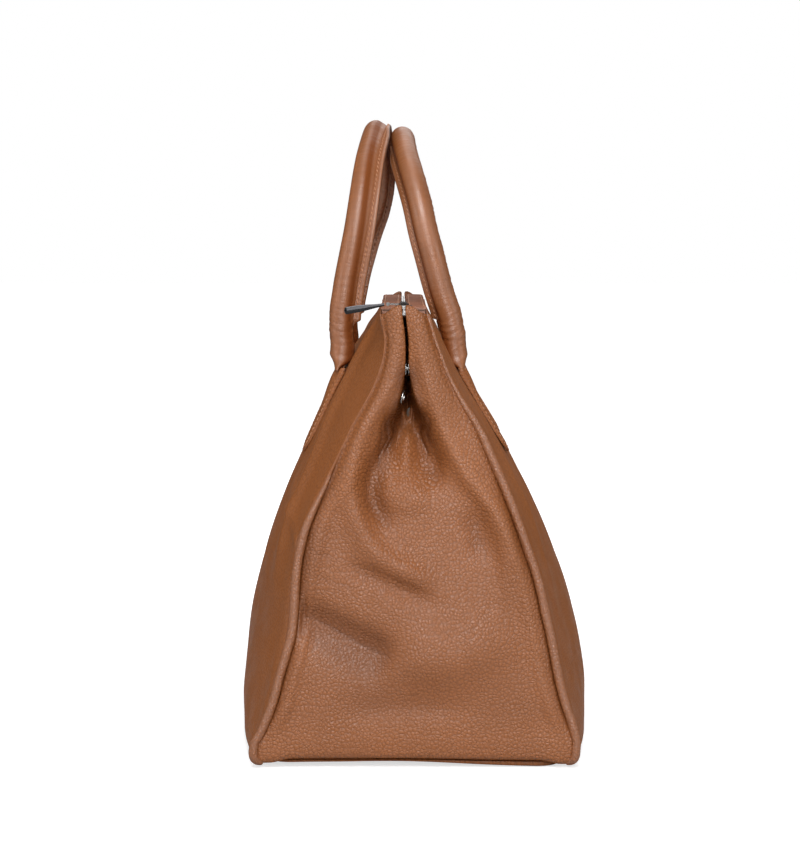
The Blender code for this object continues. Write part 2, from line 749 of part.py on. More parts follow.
def zip_half(side_name, side, leather, cloth, metal):
    tape, facing, top, chain = zip_levels()

    def strip(name, first, last, low, high, surface):
        sides = sorted((MOUTH_Y + side * first, MOUTH_Y + side * last))
        start, end = (-ZIP_HALF_LENGTH, sides[0], low), (ZIP_HALF_LENGTH, sides[1], high)
        box(f"{side_name}_{name}", start, end, surface)

    strip("zip_chain", CHAIN_GAP / 2, CHAIN_OUTER, chain, chain + CHAIN_THICKNESS, metal)
    strip("zip_tape", CHAIN_OUTER + GAP, MOUTH_HALF_DEPTH - TAPE_EDGE_INSET, tape, tape + TAPE_THICKNESS, cloth)
    strip("zip_facing", CHAIN_OUTER + FACING_INSET, MOUTH_HALF_DEPTH, facing, top, leather)


def make_end_tabs(cloth):
    """The tape's folded ends, sewn across the mouth over the gussets' tops."""
    half_width = MOUTH_HALF_DEPTH - LEATHER - GAP
    low = GUSSET_TOP + GAP
    for name, end_side in (("near_zip_end", 1), ("far_zip_end", -1)):
        inner = end_side * (ZIP_HALF_LENGTH + GAP)
        outer = end_side * (TOP_HALF_LENGTH - END_TAB_INSET)
        xs = sorted((inner, outer))
        start = (xs[0], MOUTH_Y - half_width, low)
        end = (xs[1], MOUTH_Y + half_width, low + END_TAB_THICKNESS)
        box(name, start, end, cloth)


def slider_centre():
    return Vector((TOP_HALF_LENGTH - SLIDER_END_INSET, MOUTH_Y, 0.0))


def slider_levels():
    """Underside of the lower plate, its top, underside of the upper plate, its top."""
    _, _, top, chain = zip_levels()
    lower_top = chain - GAP
    upper = top + GAP
    return lower_top - SLIDER_PLATE, lower_top, upper, upper + SLIDER_PLATE


def make_slider(metal):
    """Two plates above and below the chain, a web between its halves, and a headed post for the link."""
    bottom, lower_top, upper, top = slider_levels()
    centre = slider_centre()
    half_x, half_y = SLIDER_LENGTH / 2, SLIDER_WIDTH / 2
    corners = rounded_outline(half_x, half_y, SLIDER_ROUNDING, ARC_STEPS)
    outline = [(centre.x + x, centre.y + y) for x, y in corners]
    slider = plate("zip_slider", outline, bottom, lower_top, metal)
    join(slider, plate("slider_upper_guide", outline, upper, top, metal))
    overlap = SLIDER_PLATE / 2
    web = CHAIN_GAP / 2 - SLIDER_WEB_CLEARANCE
    web_low = centre + Vector((-SLIDER_WEB_LENGTH / 2, -web, lower_top - overlap))
    web_high = centre + Vector((SLIDER_WEB_LENGTH / 2, web, upper + overlap))
    join(slider, box("slider_web_guide", web_low, web_high, metal))
    post, head = POST_DIAMETER / 2, POST_HEAD_DIAMETER / 2
    neck = overlap + GAP + LINK_THICKNESS + GAP
    profile = [
        (0, 0), (post, 0), (post, neck), (head, neck),
        (head, neck + POST_HEAD_THICKNESS), (0, neck + POST_HEAD_THICKNESS),
    ]
    foot = Vector((centre.x, centre.y, top - overlap))
    join(slider, turned("slider_post_guide", profile, foot, (0, 0, 1), metal))


def link_level():
    return slider_levels()[3] + GAP


def puller_pivot():
    """The middle of the pin on which the puller flips."""
    centre = slider_centre()
    return Vector((centre.x, centre.y - LINK_REACH, link_level() + LINK_THICKNESS / 2))


def make_link(metal):
    """A ring round the slider's post with an arm out to the puller's pin."""
    centre = slider_centre()
    low = link_level()
    ring, hole = LINK_RING_DIAMETER / 2, POST_DIAMETER / 2 + GAP
    profile = [(hole, 0), (ring, 0), (ring, LINK_THICKNESS), (hole, LINK_THICKNESS)]
    foot = Vector((centre.x, centre.y, low))
    link = turned("puller_link", profile, foot, (0, 0, 1), metal)
    pivot = puller_pivot()
    arm_start = centre.y - (ring + hole) / 2
    arm = box(
        "link_arm_guide",
        (centre.x - LINK_WIDTH / 2, pivot.y, low + LINK_TRIM),
        (centre.x + LINK_WIDTH / 2, arm_start, low + LINK_THICKNESS - LINK_TRIM),
        metal,
    )
    join(link, arm)
    knuckle, pin = LINK_KNUCKLE_DIAMETER / 2, PULLER_PIN_DIAMETER / 2
    reach, side = PULLER_WIDTH / 2, (PULLER_WIDTH - LINK_WIDTH) / 2
    profile = [
        (0, 0), (pin, 0), (pin, side), (knuckle, side),
        (knuckle, side + LINK_WIDTH), (pin, side + LINK_WIDTH), (pin, 2 * reach), (0, 2 * reach),
    ]
    start = pivot - Vector((reach, 0, 0))
    join(link, turned("link_pin_guide", profile, start, (1, 0, 0), metal))


def make_puller(metal):
    """A bar with a forked end round the link's pin, lying towards the front and drooping a little."""
    pivot = puller_pivot()
    knuckle = PULLER_THICKNESS / 2
    puller = box(
        "zip_puller",
        (-PULLER_WIDTH / 2, -PULLER_LENGTH, -knuckle),
        (PULLER_WIDTH / 2, knuckle, knuckle),
        metal, PULLER_ROUNDING,
    )
    slot_half = LINK_WIDTH / 2 + GAP
    slot = box(
        "puller_slot_guide",
        (-slot_half, -PULLER_SLOT_DEPTH, -knuckle - OVERRUN),
        (slot_half, knuckle + OVERRUN, knuckle + OVERRUN),
        metal,
    )
    hole = PULLER_PIN_DIAMETER / 2 + GAP
    reach = PULLER_WIDTH / 2 + OVERRUN
    bore = turned(
        "puller_bore_guide",
        [(0, 0), (hole, 0), (hole, 2 * reach), (0, 2 * reach)],
        Vector((-reach, 0, 0)), (1, 0, 0), metal,
    )
    for cutter in (slot, bore):
        cutter.parent = puller
        cut(puller, cutter)
    puller.location = pivot
    puller.rotation_euler = (PULLER_DROOP, 0, 0)


# Snap fasteners


def fold_wall_point(side, height, depth):
    """A place on the near gusset's fold wall, by its distance from the slit's mouth."""
    _, opening, fold = gusset_path(height)
    mouth = Vector((half_length(height), side * opening, height))
    tip = Vector((half_length(height) - fold, 0.0, height))
    place = mouth.lerp(tip, depth / (tip - mouth).length)
    place.y += fold_middle(height)
    return place


def snap_frame(side, height, depth):
    """A snap's seat on the near gusset's fold wall, and the direction in which it faces across the slit."""
    reach = SNAP_DIAMETER / 2
    middle = fold_wall_point(side, height, depth)
    down = fold_wall_point(side, height, depth + reach) - middle
    up = fold_wall_point(side, height + reach, depth) - fold_wall_point(side, height - reach, depth)
    facing = down.cross(up).normalized()
    if facing.y * side > 0:
        facing.negate()
    return middle + facing * SNAP_SEAT, facing


def make_snaps(metal):
    disc, hole, stud = SNAP_DIAMETER / 2, SNAP_HOLE_DIAMETER / 2, SNAP_STUD_DIAMETER / 2
    socket = [(hole, 0), (disc, 0), (disc, SNAP_THICKNESS), (hole, SNAP_THICKNESS)]
    boss = SNAP_THICKNESS + SNAP_STUD_HEIGHT
    plug = [(0, 0), (disc, 0), (disc, SNAP_THICKNESS), (stud, SNAP_THICKNESS), (stud, boss), (0, boss)]
    places = (
        ("upper_snap_socket", -1, UPPER_SNAP_BELOW, socket),
        ("upper_snap_stud", 1, UPPER_SNAP_BELOW, plug),
        ("lower_snap_stud", -1, LOWER_SNAP_BELOW, plug),
        ("lower_snap_socket", 1, LOWER_SNAP_BELOW, socket),
    )
    for end_name, end_side in (("near", 1), ("far", -1)):
        for name, side, below, profile in places:
            centre, axis = snap_frame(side, GUSSET_TOP - below, SNAP_DEPTH)
            centre.x *= end_side
            axis.x *= end_side
            turned(f"{end_name}_{name}", profile, centre, axis, metal)


# Joints


def hang(name, place, pieces):
    """Parents pieces to an empty on the axis of the joint that moves them."""
    empty = bpy.data.objects.new(name, None)
    empty.location = place
    bpy.context.scene.collection.objects.link(empty)
    for piece in pieces:
        child = bpy.data.objects[piece]
        child.parent = empty
        child.matrix_parent_inverse = Matrix.Translation(-place)


def set_joint_origins():
    for side_name, side in (("front", -1), ("back", 1)):
        pieces = [f"{side_name}_handle_cover", f"{side_name}_handle_core"]
        hang(f"{side_name}_handle_hinge", handle_hinge(side), pieces)
        y = MOUTH_Y + side * (MOUTH_HALF_DEPTH - FLAP_HINGE_INSET)
        pieces = [f"{side_name}_zip_{layer}" for layer in ("chain", "tape", "facing")]
        hang(f"{side_name}_zip_hinge", Vector((0.0, y, zip_levels()[0])), pieces)
    centre = slider_centre()
    hang("slider_home", Vector((centre.x, centre.y, zip_levels()[0])), ["zip_slider"])
    hang("link_post", Vector((centre.x, centre.y, link_level())), ["puller_link"])


def main():
    clear_scene()
    leather = material("tan_leather", (0.33, 0.16, 0.085), 0.5)
    edge_leather = material("tan_piping", (0.36, 0.18, 0.10), 0.45)
    cloth = material("lining_cloth", (0.22, 0.17, 0.13), 0.9)
    tape = material("zip_tape_cloth", (0.16, 0.09, 0.06), 0.85)
    board = material("base_board_fibre", (0.30, 0.26, 0.20), 0.9)
    cord = material("handle_cord", (0.62, 0.56, 0.46), 0.9)
    nickel = material("nickel", (0.62, 0.61, 0.60), 0.25, 1.0)
    dark_chrome = material("dark_chrome", (0.16, 0.15, 0.15), 0.2, 1.0)

    make_panel("front_panel", -1, leather)
    make_panel("back_panel", 1, leather)
    make_gusset("near_gusset", 1, leather)
    make_gusset("far_gusset", -1, leather)
    make_lining(cloth)
    make_piping(edge_leather)
    make_base(leather, board)
    make_chapes(leather)
    make_handle("front", -1, leather, cord)
    make_handle("back", 1, leather, cord)
    zip_half("front", -1, leather, tape, nickel)
    zip_half("back", 1, leather, tape, nickel)
    make_end_tabs(tape)
    make_slider(nickel)
    make_link(nickel)
    make_puller(dark_chrome)
    make_snaps(nickel)
    set_joint_origins()


main()
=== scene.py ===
"""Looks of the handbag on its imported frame: leather shells, stitched handles, zip and snap fasteners."""

import math

import bmesh
import bpy
import numpy as np
from mathutils import Matrix, Vector, noise


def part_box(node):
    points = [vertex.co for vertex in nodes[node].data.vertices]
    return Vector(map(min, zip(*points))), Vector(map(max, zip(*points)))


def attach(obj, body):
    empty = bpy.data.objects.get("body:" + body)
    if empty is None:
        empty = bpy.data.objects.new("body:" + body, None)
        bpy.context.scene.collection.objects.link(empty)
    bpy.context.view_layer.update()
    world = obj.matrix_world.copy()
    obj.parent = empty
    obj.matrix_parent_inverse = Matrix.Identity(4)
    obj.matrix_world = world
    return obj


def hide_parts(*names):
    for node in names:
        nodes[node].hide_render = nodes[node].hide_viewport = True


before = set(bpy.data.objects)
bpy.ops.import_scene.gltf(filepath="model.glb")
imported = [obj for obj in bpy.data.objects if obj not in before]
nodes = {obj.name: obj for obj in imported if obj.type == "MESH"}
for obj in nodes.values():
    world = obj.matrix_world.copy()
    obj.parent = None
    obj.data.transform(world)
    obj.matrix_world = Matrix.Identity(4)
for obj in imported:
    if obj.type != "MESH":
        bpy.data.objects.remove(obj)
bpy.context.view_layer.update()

# Camera, from the photograph: the near gusset's plane stands about 1.4 m away
IMAGE_WIDTH, IMAGE_HEIGHT = 800, 860
FOCAL_PIXELS = 2655
CAMERA = Vector((1.57, -0.008, 0.2885))
CAMERA_PITCH = math.radians(4.37)

# Sides and ends, with their signs along Y and X
SIDES = (("front", -1), ("back", 1))
ENDS = (("near", 1), ("far", -1))

# The body's form, with the same values as the solids
GAP = 0.0003
BODY_HEIGHT = 0.2431
BASE_HALF_LENGTH = 0.170
TOP_HALF_LENGTH = 0.150
HALF_DEPTH = 0.0985
MOUTH_HALF_DEPTH = 0.0125
BODY_LEAN = 0.008
TOP_DROP = 0.002
CORNER_RADIUS = 0.011
LEATHER = 0.002
LINING_INSET = 0.0032
MIDDLE_DEPTH_SHARES = (
    (0.0, 0.97), (0.115, 1.0), (0.22, 0.969), (0.33, 0.907), (0.44, 0.817),
    (0.55, 0.70), (0.655, 0.556), (0.836, 0.277), (1.0, 0.0),
)
END_DEPTH_SHARES = (
    (0.0, 0.91), (0.054, 0.855), (0.152, 0.75), (0.27, 0.68), (0.424, 0.60),
    (0.58, 0.452), (0.7375, 0.255), (0.828, 0.117), (0.927, 0.022), (1.0, 0.0),
)
MIDDLE_LEAN_SHARES = ((0.0, 0.0), (0.22, 0.0), (0.44, 0.34), (0.655, 0.62), (0.836, 1.0), (1.0, 0.75))
END_LEAN_SHARES = ((0.0, 0.0), (0.58, 0.02), (0.83, 0.15), (0.93, 0.4), (1.0, 0.75))
GUSSET_TOP = 0.2400
GUSSET_DIP = 0.006
GUSSET_DIP_LENGTH = 0.013
GUSSET_BULGE = 0.005
FOLD_HALF_WIDTH = 0.052
SLIT_HALF_GAP = 0.0017
FOLD_OPENING_SHARES = (
    (0.56, 0.62), (0.62, 0.45), (0.67, 0.36), (0.74, 0.26), (0.80, 0.14), (0.85, 0.02), (1.0, 0.0),
)
SLIT_SWAY = 0.0031
SLIT_SWAY_SHARES = (
    (0.50, 0.0), (0.565, 0.4), (0.627, 0.75), (0.69, 0.95), (0.753, 1.0),
    (0.816, 0.95), (0.88, 0.72), (0.942, 0.26), (1.0, 0.0),
)
PIPING_RADIUS = 0.0025
BASE_THICKNESS = 0.003
UNDERSIDE = BASE_THICKNESS + GAP
CORNER_TOP = UNDERSIDE + CORNER_RADIUS
FLANGE_HALF_WIDTH = 0.070
FLANGE_HALF_LENGTH = 0.157

# Handles, with the same values as the solids
HANDLE_HALF_SPACING = 0.072
HANDLE_LENGTH = 0.139
HINGE_HEIGHT = 0.208
CHAPE_LENGTH = 0.046
CHAPE_THICKNESS = 0.0034
TUBE_RADIUS = 0.007
FLANGE_REACH = 0.0042
FLANGE_TURN = math.radians(30)
TONGUE_WIDTH = 0.024
TONGUE_THICKNESS = 0.0034
TONGUE_LENGTH = 0.026
APEX_CLEARANCE = 0.0024
APEX_LEAN = 0.0161

# The handles' softer forms, which the solids leave out. -1 is the front one, and starts are distances from
# the hinge
TURN_START = {-1: 0.026, 1: 0.012}
TURN_LENGTH = {-1: 0.113, 1: 0.024}
FLANGE_START = {-1: 0.0265, 1: 0.0300}
FLANGE_FADE = 0.0035
FLANGE_FACE = 0.0014
HANDLE_SAG = {-1: 0.0010, 1: 0.0018}
CORE_RADIUS = 0.0052
CORE_START = 0.014
FLANGE_GROOVE = 0.0005
CROSS_WRINKLES = 0.00050
FOOT_WRINKLES = 0.00042
# How far the far legs stand inward, in mm by distance from the hinge in mm
FAR_LEG_SHIFT = {
    -1: ((0, 0), (50, 0.8), (61, 1.5), (77, 3.2), (92, 6.4), (108, 8.4), (125, 7.6), (139, 4.0), (150, 4.0)),
    1: ((0, 0), (50, -2), (150, -2)),
}
# How far all legs stand outward of the solids' straight line, in mm by distance from the hinge in mm
LEG_BOW = {
    -1: (
        (0, 1.8), (2, 1.4), (4, 0.6), (6, 0.0), (9, 0.0), (14, -0.2), (20, 0.7), (25, 1.3), (30, 1.9),
        (35, 2.2), (42, 2.1), (50, 2.0), (66, 1.1), (80, 0.3), (95, 0), (118, -0.1), (129, -0.7), (139, -1.7),
    ),
    1: (
        (0, 0.3), (3, -0.4), (6, -1.5), (9, -1.7), (14, -1.6), (20, -0.8), (25, -0.8), (30, -0.4), (35, -0.4),
        (42, -0.8), (50, -1.1), (66, -1.0), (82, -0.9), (100, 0), (118, -0.1), (129, -0.2), (139, 0.4),
    ),
}


def smooth_step(t):
    t = np.clip(t, 0.0, 1.0)
    return t * t * (3 - 2 * t)


def eased(t):
    """The smooth step of one number."""
    return float(smooth_step(t))


def bell(offset, width):
    return np.exp(-((offset / width) ** 2))


def read_curve(shares, at):
    """A smooth line through given points, read at many places at once."""
    x, y = np.array(shares).T
    last = len(x) - 1
    place = np.arange(last + 1)
    before, after = np.maximum(place - 1, 0), np.minimum(place + 1, last)
    slope = (y[after] - y[before]) / (x[after] - x[before])
    at = np.clip(at, x[0], x[-1])
    k = np.clip(np.searchsorted(x, at, side="right") - 1, 0, last - 1)
    step = x[k + 1] - x[k]
    t = (at - x[k]) / step
    level = y[k] + (y[k + 1] - y[k]) * (3 - 2 * t) * t * t
    return level + step * ((t - 2) * t + 1) * t * slope[k] + step * (t - 1) * t * t * slope[k + 1]


def half_length(z):
    return BASE_HALF_LENGTH + (TOP_HALF_LENGTH - BASE_HALF_LENGTH) * z / BODY_HEIGHT


def from_shares(middle, end, x, z):
    share = np.minimum(z / BODY_HEIGHT, 1.0)
    weight = np.minimum(np.abs(x) / half_length(z), 1.0) ** 3
    return read_curve(middle, share) * (1 - weight) + read_curve(end, share) * weight


def half_depth(x, z):
    share = from_shares(MIDDLE_DEPTH_SHARES, END_DEPTH_SHARES, x, z)
    return MOUTH_HALF_DEPTH + (HALF_DEPTH - MOUTH_HALF_DEPTH) * share


def lean(x, z):
    return -BODY_LEAN * from_shares(MIDDLE_LEAN_SHARES, END_LEAN_SHARES, x, z)


def fold_middle(z):
    return lean(half_length(z), z) - SLIT_SWAY * read_curve(SLIT_SWAY_SHARES, z / BODY_HEIGHT)


MOUTH_Y = float(lean(0.0, BODY_HEIGHT))

# How far the near end's seams stray along Y from their plain lines, in mm by height in cm
SEAM_SWAY = {
    -1: (
        (0, -1.2), (1.2, -0.6), (1.8, 1.0), (2.6, 1.4), (4.9, 1.8), (6.0, 3.0), (7.2, 3.9), (8.3, 3.3),
        (9.5, 1.9), (10.6, 0.2), (11.8, -1.4), (12.9, -2.1), (14.1, -1.1), (15.2, -0.1), (18.7, -0.3),
        (19.8, 0.2), (21.0, 1.1), (22.1, 1.5), (23.3, 0.7), (24.3, 0),
    ),
    1: (
        (0, 0.3), (1.2, 0.5), (1.8, 1.5), (2.6, 2.5), (6.0, 2.5), (7.2, 2.4), (8.3, 1.6), (10.6, 0.7),
        (11.8, 0.1), (14.0, 0.3), (16.4, 0.6), (17.5, 1.1), (18.7, 1.1), (19.8, 0.7), (21.0, 0.2), (22.1, 0.6),
        (24.3, 0),
    ),
}
# The far end strays less, and the other way, so that the ends aren't copies
FAR_SWAY = -0.6
# How high the gusset's lower edge and the base patch arch off the floor, and how far the corners sag
EDGE_ARCH = 0.0012
PATCH_ARCH = 0.0030
CORNER_SAG = 0.0020


def seam_sway(side, end_side, z):
    share = 1.0 if end_side > 0 else FAR_SWAY
    return share * read_curve(SEAM_SWAY[side * end_side], np.asarray(z) * 100) / 1000


def base_arch(x, y):
    """The share by which the soft bottom's edge arches off the floor between the near corners."""
    arch = bell(y + 0.012, 0.050) + 0.5 * bell(y + 0.070, 0.03)
    return arch * smooth_step((x - 0.10) / 0.055)


def base_lift(x, y, z):
    """How far low leather rises at the near end's middle and sags at all the corners."""
    sag = CORNER_SAG * smooth_step((np.abs(y) - 0.066) / 0.012) * smooth_step((np.abs(x) - 0.12) / 0.03)
    return (EDGE_ARCH * base_arch(x, y) - sag) * smooth_step(1 - z / 0.04)


def to_pixels(points):
    """Where points of the world fall in the photograph."""
    ahead = CAMERA.x - points[..., 0]
    below = CAMERA.z - points[..., 2]
    depth = ahead * math.cos(CAMERA_PITCH) + below * math.sin(CAMERA_PITCH)
    down = below * math.cos(CAMERA_PITCH) - ahead * math.sin(CAMERA_PITCH)
    across = points[..., 1] - CAMERA.y
    return np.stack(
        (IMAGE_WIDTH / 2 + FOCAL_PIXELS * across / depth, IMAGE_HEIGHT / 2 + FOCAL_PIXELS * down / depth), -1
    )


def lengths_along(line):
    return np.concatenate(([0.0], np.cumsum(np.linalg.norm(np.diff(line, axis=0), axis=1))))


def spline(points, count):
    """A smooth line of count points through the given ones."""
    points = np.array(points, float)
    at = lengths_along(points)
    along = np.linspace(0, at[-1], count)
    return np.stack([read_curve(list(zip(at, column)), along) for column in points.T], -1)


def distance_to(line, places):
    """Distance of places from a line, and the share of the line's length where each is nearest.

    It is positive on the left of a line that runs down the photograph, and below one that runs to the right.
    """
    best = np.full(places.shape[:-1], 1e9)
    sign, share = np.zeros_like(best), np.zeros_like(best)
    count = len(line) - 1
    for k, (a, b) in enumerate(zip(line, line[1:])):
        d = b - a
        t = np.clip(((places - a) @ d) / (d @ d), 0, 1)
        off = places - a - t[..., None] * d
        gap = np.linalg.norm(off, axis=-1)
        nearer = gap < best
        best = np.where(nearer, gap, best)
        turn = d[0] * off[..., 1] - d[1] * off[..., 0]
        sign = np.where(nearer, np.sign(turn), sign)
        share = np.where(nearer, (k + t) / count, share)
    return best * sign, share


def relief(forms, places):
    """Adds up ridges and valleys."""
    total = np.zeros(places.shape[:-1])
    for height, widths, fade, line in forms:
        off, share = distance_to(spline(line, 24), places)
        ends = smooth_step((1 - share) / fade[1])
        if fade[0]:
            ends = ends * smooth_step(share / fade[0])
        total += height / 1000 * ends * bell(off, np.where(off > 0, *widths))
    return total


def creases(lines, places):
    """Sharp narrow folds: a pinched groove with a soft lip on its positive side."""
    total = np.zeros(places.shape[:-1])
    for depth, width, line in lines:
        off, share = distance_to(spline(line, 24), places)
        ends = smooth_step(share / 0.3) * smooth_step((1 - share) / 0.3)
        lip = 0.3 * bell(off - 2.2 * width, 1.6 * width)
        total += depth / 1000 * ends * (lip - np.exp(-np.abs(off) / width))
    return total


def unevenness(points, size, height, seed):
    """Soft random hollows, the same in each run."""
    flat = points.reshape(-1, 3) / size
    values = [noise.noise(Vector((p[0] + seed, p[1], p[2]))) for p in flat]
    return height * np.array(values).reshape(points.shape[:-1])


# Materials


def shader_of(name, color, roughness, metallic=0.0):
    """A new material, its shader and its nodes."""
    made = bpy.data.materials.new(name)
    made.use_nodes = True
    shader = made.node_tree.nodes["Principled BSDF"]
    shader.inputs["Base Color"].default_value = (*color, 1.0)
    shader.inputs["Roughness"].default_value = roughness
    shader.inputs["Metallic"].default_value = metallic
    return made, shader, Nodes(made)


class Nodes:
    """Short ways to add nodes to a material or a world."""

    def __init__(self, made):
        self.tree = made.node_tree
        self.place = self.add("ShaderNodeTexCoord").outputs["Object"]

    def link(self, source, target):
        if isinstance(source, (int, float, tuple)):
            target.default_value = source
        else:
            self.tree.links.new(source, target)

    def add(self, kind, inputs=(), **settings):
        """Each input takes a value or the output of another node."""
        node = self.tree.nodes.new(kind)
        for key, value in settings.items():
            setattr(node, key, value)
        for key, source in dict(inputs).items():
            self.link(source, node.inputs[key])
        return node

    def math(self, operation, a, b=0.0):
        return self.add("ShaderNodeMath", {0: a, 1: b}, operation=operation).outputs[0]

    def plus(self, a, b):
        return self.math("ADD", a, b)

    def times(self, a, b):
        return self.math("MULTIPLY", a, b)

    def noise(self, scale, detail=3.0, place=None, roughness=0.5):
        inputs = {"Scale": scale, "Detail": detail, "Roughness": roughness, "Vector": place or self.place}
        return self.add("ShaderNodeTexNoise", inputs).outputs["Fac"]

    def cells(self, scale, feature, place, size="3D"):
        inputs = {"Scale": scale, "Vector": place}
        node = self.add("ShaderNodeTexVoronoi", inputs, feature=feature, voronoi_dimensions=size)
        return node.outputs["Distance"]

    def span(self, value, low, high, to_low=0.0, to_high=1.0, shape="SMOOTHSTEP"):
        inputs = {"Value": value, "From Min": low, "From Max": high, "To Min": to_low, "To Max": to_high}
        return self.add("ShaderNodeMapRange", inputs, interpolation_type=shape).outputs["Result"]

    def patches(self, scale, detail, low=0.0, high=1.0):
        """Soft random patches between two levels."""
        return self.span(self.noise(scale, detail), 0.3, 0.7, low, high)

    def mix(self, share, a, b):
        node = self.add("ShaderNodeMix", {"Factor": share}, data_type="RGBA")
        for value, key in ((a, "A"), (b, "B")):
            socket = next(s for s in node.inputs if s.name == key and s.type == "RGBA")
            self.link((*value, 1.0) if isinstance(value, tuple) else value, socket)
        return next(s for s in node.outputs if s.type == "RGBA")

    def dull_edges(self, shader, shine, at_edge=0.0, share=1.0):
        """Grain hides the sheen of a surface that is seen at a grazing angle."""
        level = shader.inputs["Specular IOR Level"]
        level.default_value = shine
        facing = self.add("ShaderNodeLayerWeight").outputs["Facing"]
        self.link(self.times(self.span(facing, 0.30, 0.72, shine, at_edge), share), level)

    def dress(self, shader, color, height, depth, roughness):
        inputs = {"Height": height, "Distance": depth, "Strength": 1.0}
        bump = self.add("ShaderNodeBump", inputs).outputs["Normal"]
        for source, key in ((color, "Base Color"), (bump, "Normal"), (roughness, "Roughness")):
            self.link(source, shader.inputs[key])


def tone(color, *factors):
    """A colour times one factor, or times one for each channel."""
    return tuple(min(c * f, 1.0) for c, f in zip(color, factors * 3 if len(factors) == 1 else factors))


def leather(
    name, color, grain=520.0, depth=0.00040, roughness=0.42, shine=0.60, at_edge=0.004, plane="", with_painted_shade=False
):
    """Drummed leather: packed pebbles of uneven size with dark grooves, laid out in a plane such as "yz"."""
    made, shader, n = shader_of(name, color, roughness)
    flat, size = n.place, "3D"
    if plane:
        axes = n.add("ShaderNodeSeparateXYZ", {0: n.place}).outputs
        chosen = {k: axes["xyz".index(axis)] for k, axis in enumerate(plane)}
        flat, size = n.add("ShaderNodeCombineXYZ", chosen).outputs[0], "2D"
    warp = n.add("ShaderNodeTexNoise", {"Scale": grain * 0.35, "Vector": flat}).outputs["Color"]
    wobble = n.add("ShaderNodeVectorMath", {0: warp, "Scale": 0.9 / grain}, operation="SCALE").outputs[0]
    place = n.add("ShaderNodeVectorMath", {0: flat, 1: wobble}, operation="ADD").outputs[0]
    domes = n.span(n.cells(grain, "F1", place, size), 0.0, 0.68, 1.0, 0.0)
    grooves = n.span(n.cells(grain, "DISTANCE_TO_EDGE", place, size), 0.0, 0.20)
    small = n.span(n.cells(grain * 2.1, "F1", place, size), 0.0, 0.7, 1.0, 0.0)
    pebbles = n.plus(n.plus(n.times(domes, 0.50), n.times(grooves, 0.32)), n.times(small, 0.18))
    strength = n.span(n.noise(34.0, 2.0), 0.30, 0.66, 0.7, 1.0)
    base = n.mix(n.patches(22.0, 4.0), tone(color, 0.94), tone(color, 1.06))
    toned = n.mix(n.span(pebbles, 0.15, 0.75), tone(color, 0.80), base)
    if with_painted_shade:
        # Painted shade: the colour darkens as far as the mesh's painted_shade attribute says
        painted_shade = n.add("ShaderNodeAttribute", attribute_name="painted_shade").outputs["Fac"]
        toned = n.mix(painted_shade, toned, tone(color, 0.40, 0.36, 0.33))
    gloss = n.patches(60.0, 3.0, roughness - 0.05, roughness + 0.07)
    n.dress(shader, toned, n.times(pebbles, strength), depth, gloss)
    n.dull_edges(shader, shine, at_edge)
    return made


def smooth_leather(name, color, roughness=0.42):
    """Rolled leather with faint grain and fine wrinkles across the roll, and bands of painted shade along it.

    It reads "path": the length along the roll, and the length around it from the flange's tip.
    """
    made, shader, n = shader_of(name, color, roughness)
    path = n.add("ShaderNodeAttribute", attribute_name="path").outputs["Vector"]
    stretched = n.add("ShaderNodeMapping", {"Scale": (420.0, 60.0, 1.0), "Vector": path}).outputs[0]
    wrinkles = n.span(n.noise(1.0, 3.0, stretched, 0.6), 0.35, 0.65)
    grain = n.span(n.cells(820.0, "DISTANCE_TO_EDGE", n.place), 0.0, 0.4)
    height = n.plus(n.times(wrinkles, 0.6), n.times(grain, 0.25))
    base = n.mix(n.patches(30.0, 4.0), tone(color, 0.88), tone(color, 1.08))
    shaded = n.mix(n.times(wrinkles, 0.5), tone(color, 0.84), base)
    around = n.math("ABSOLUTE", n.add("ShaderNodeSeparateXYZ", {0: path}).outputs[1])
    # Pale streaks, and a rim darkened as painted shade, on the side away from the flange, and painted shade in
    # the groove beside the flange
    streak = n.times(n.span(around, 0.0120, 0.0150), 0.55)
    shaded = n.mix(n.times(streak, n.span(n.noise(40.0, 3.0), 0.35, 0.65)), shaded, tone(color, 1.18))
    shaded = n.mix(n.times(n.span(around, 0.0150, 0.0205), 0.6), shaded, tone(color, 0.66))
    painted_groove_shade = n.times(n.span(around, 0.0026, 0.0048), n.span(around, 0.0066, 0.0100, 1.0, 0.0))
    shaded = n.mix(painted_groove_shade, shaded, tone(color, 0.62, 0.50, 0.38))
    n.dress(shader, shaded, height, 0.00013, n.patches(90.0, 3.0, roughness - 0.06, roughness + 0.06))
    # Less sheen in the groove's painted shade
    n.dull_edges(shader, 0.95, 0.14, n.math("SUBTRACT", 1.0, n.times(painted_groove_shade, 0.85)))
    return made


def plain_surface(name, color, roughness, scale, depth, spread=0.12, metallic=0.0):
    """A surface with fine random texture: thread, painted edges, cord and metal."""
    made, shader, n = shader_of(name, color, roughness, metallic)
    speckle = n.noise(scale, 4.0)
    toned = n.mix(n.span(speckle, 0.3, 0.7), tone(color, 1 - spread), tone(color, 1 + spread))
    n.dress(shader, toned, speckle, depth, n.patches(scale / 6, 3.0, roughness * 0.8, roughness * 1.2))
    return made


def metal(name, color, roughness, spread=0.05):
    return plain_surface(name, color, roughness, 300.0, 0.00001, spread, 1.0)


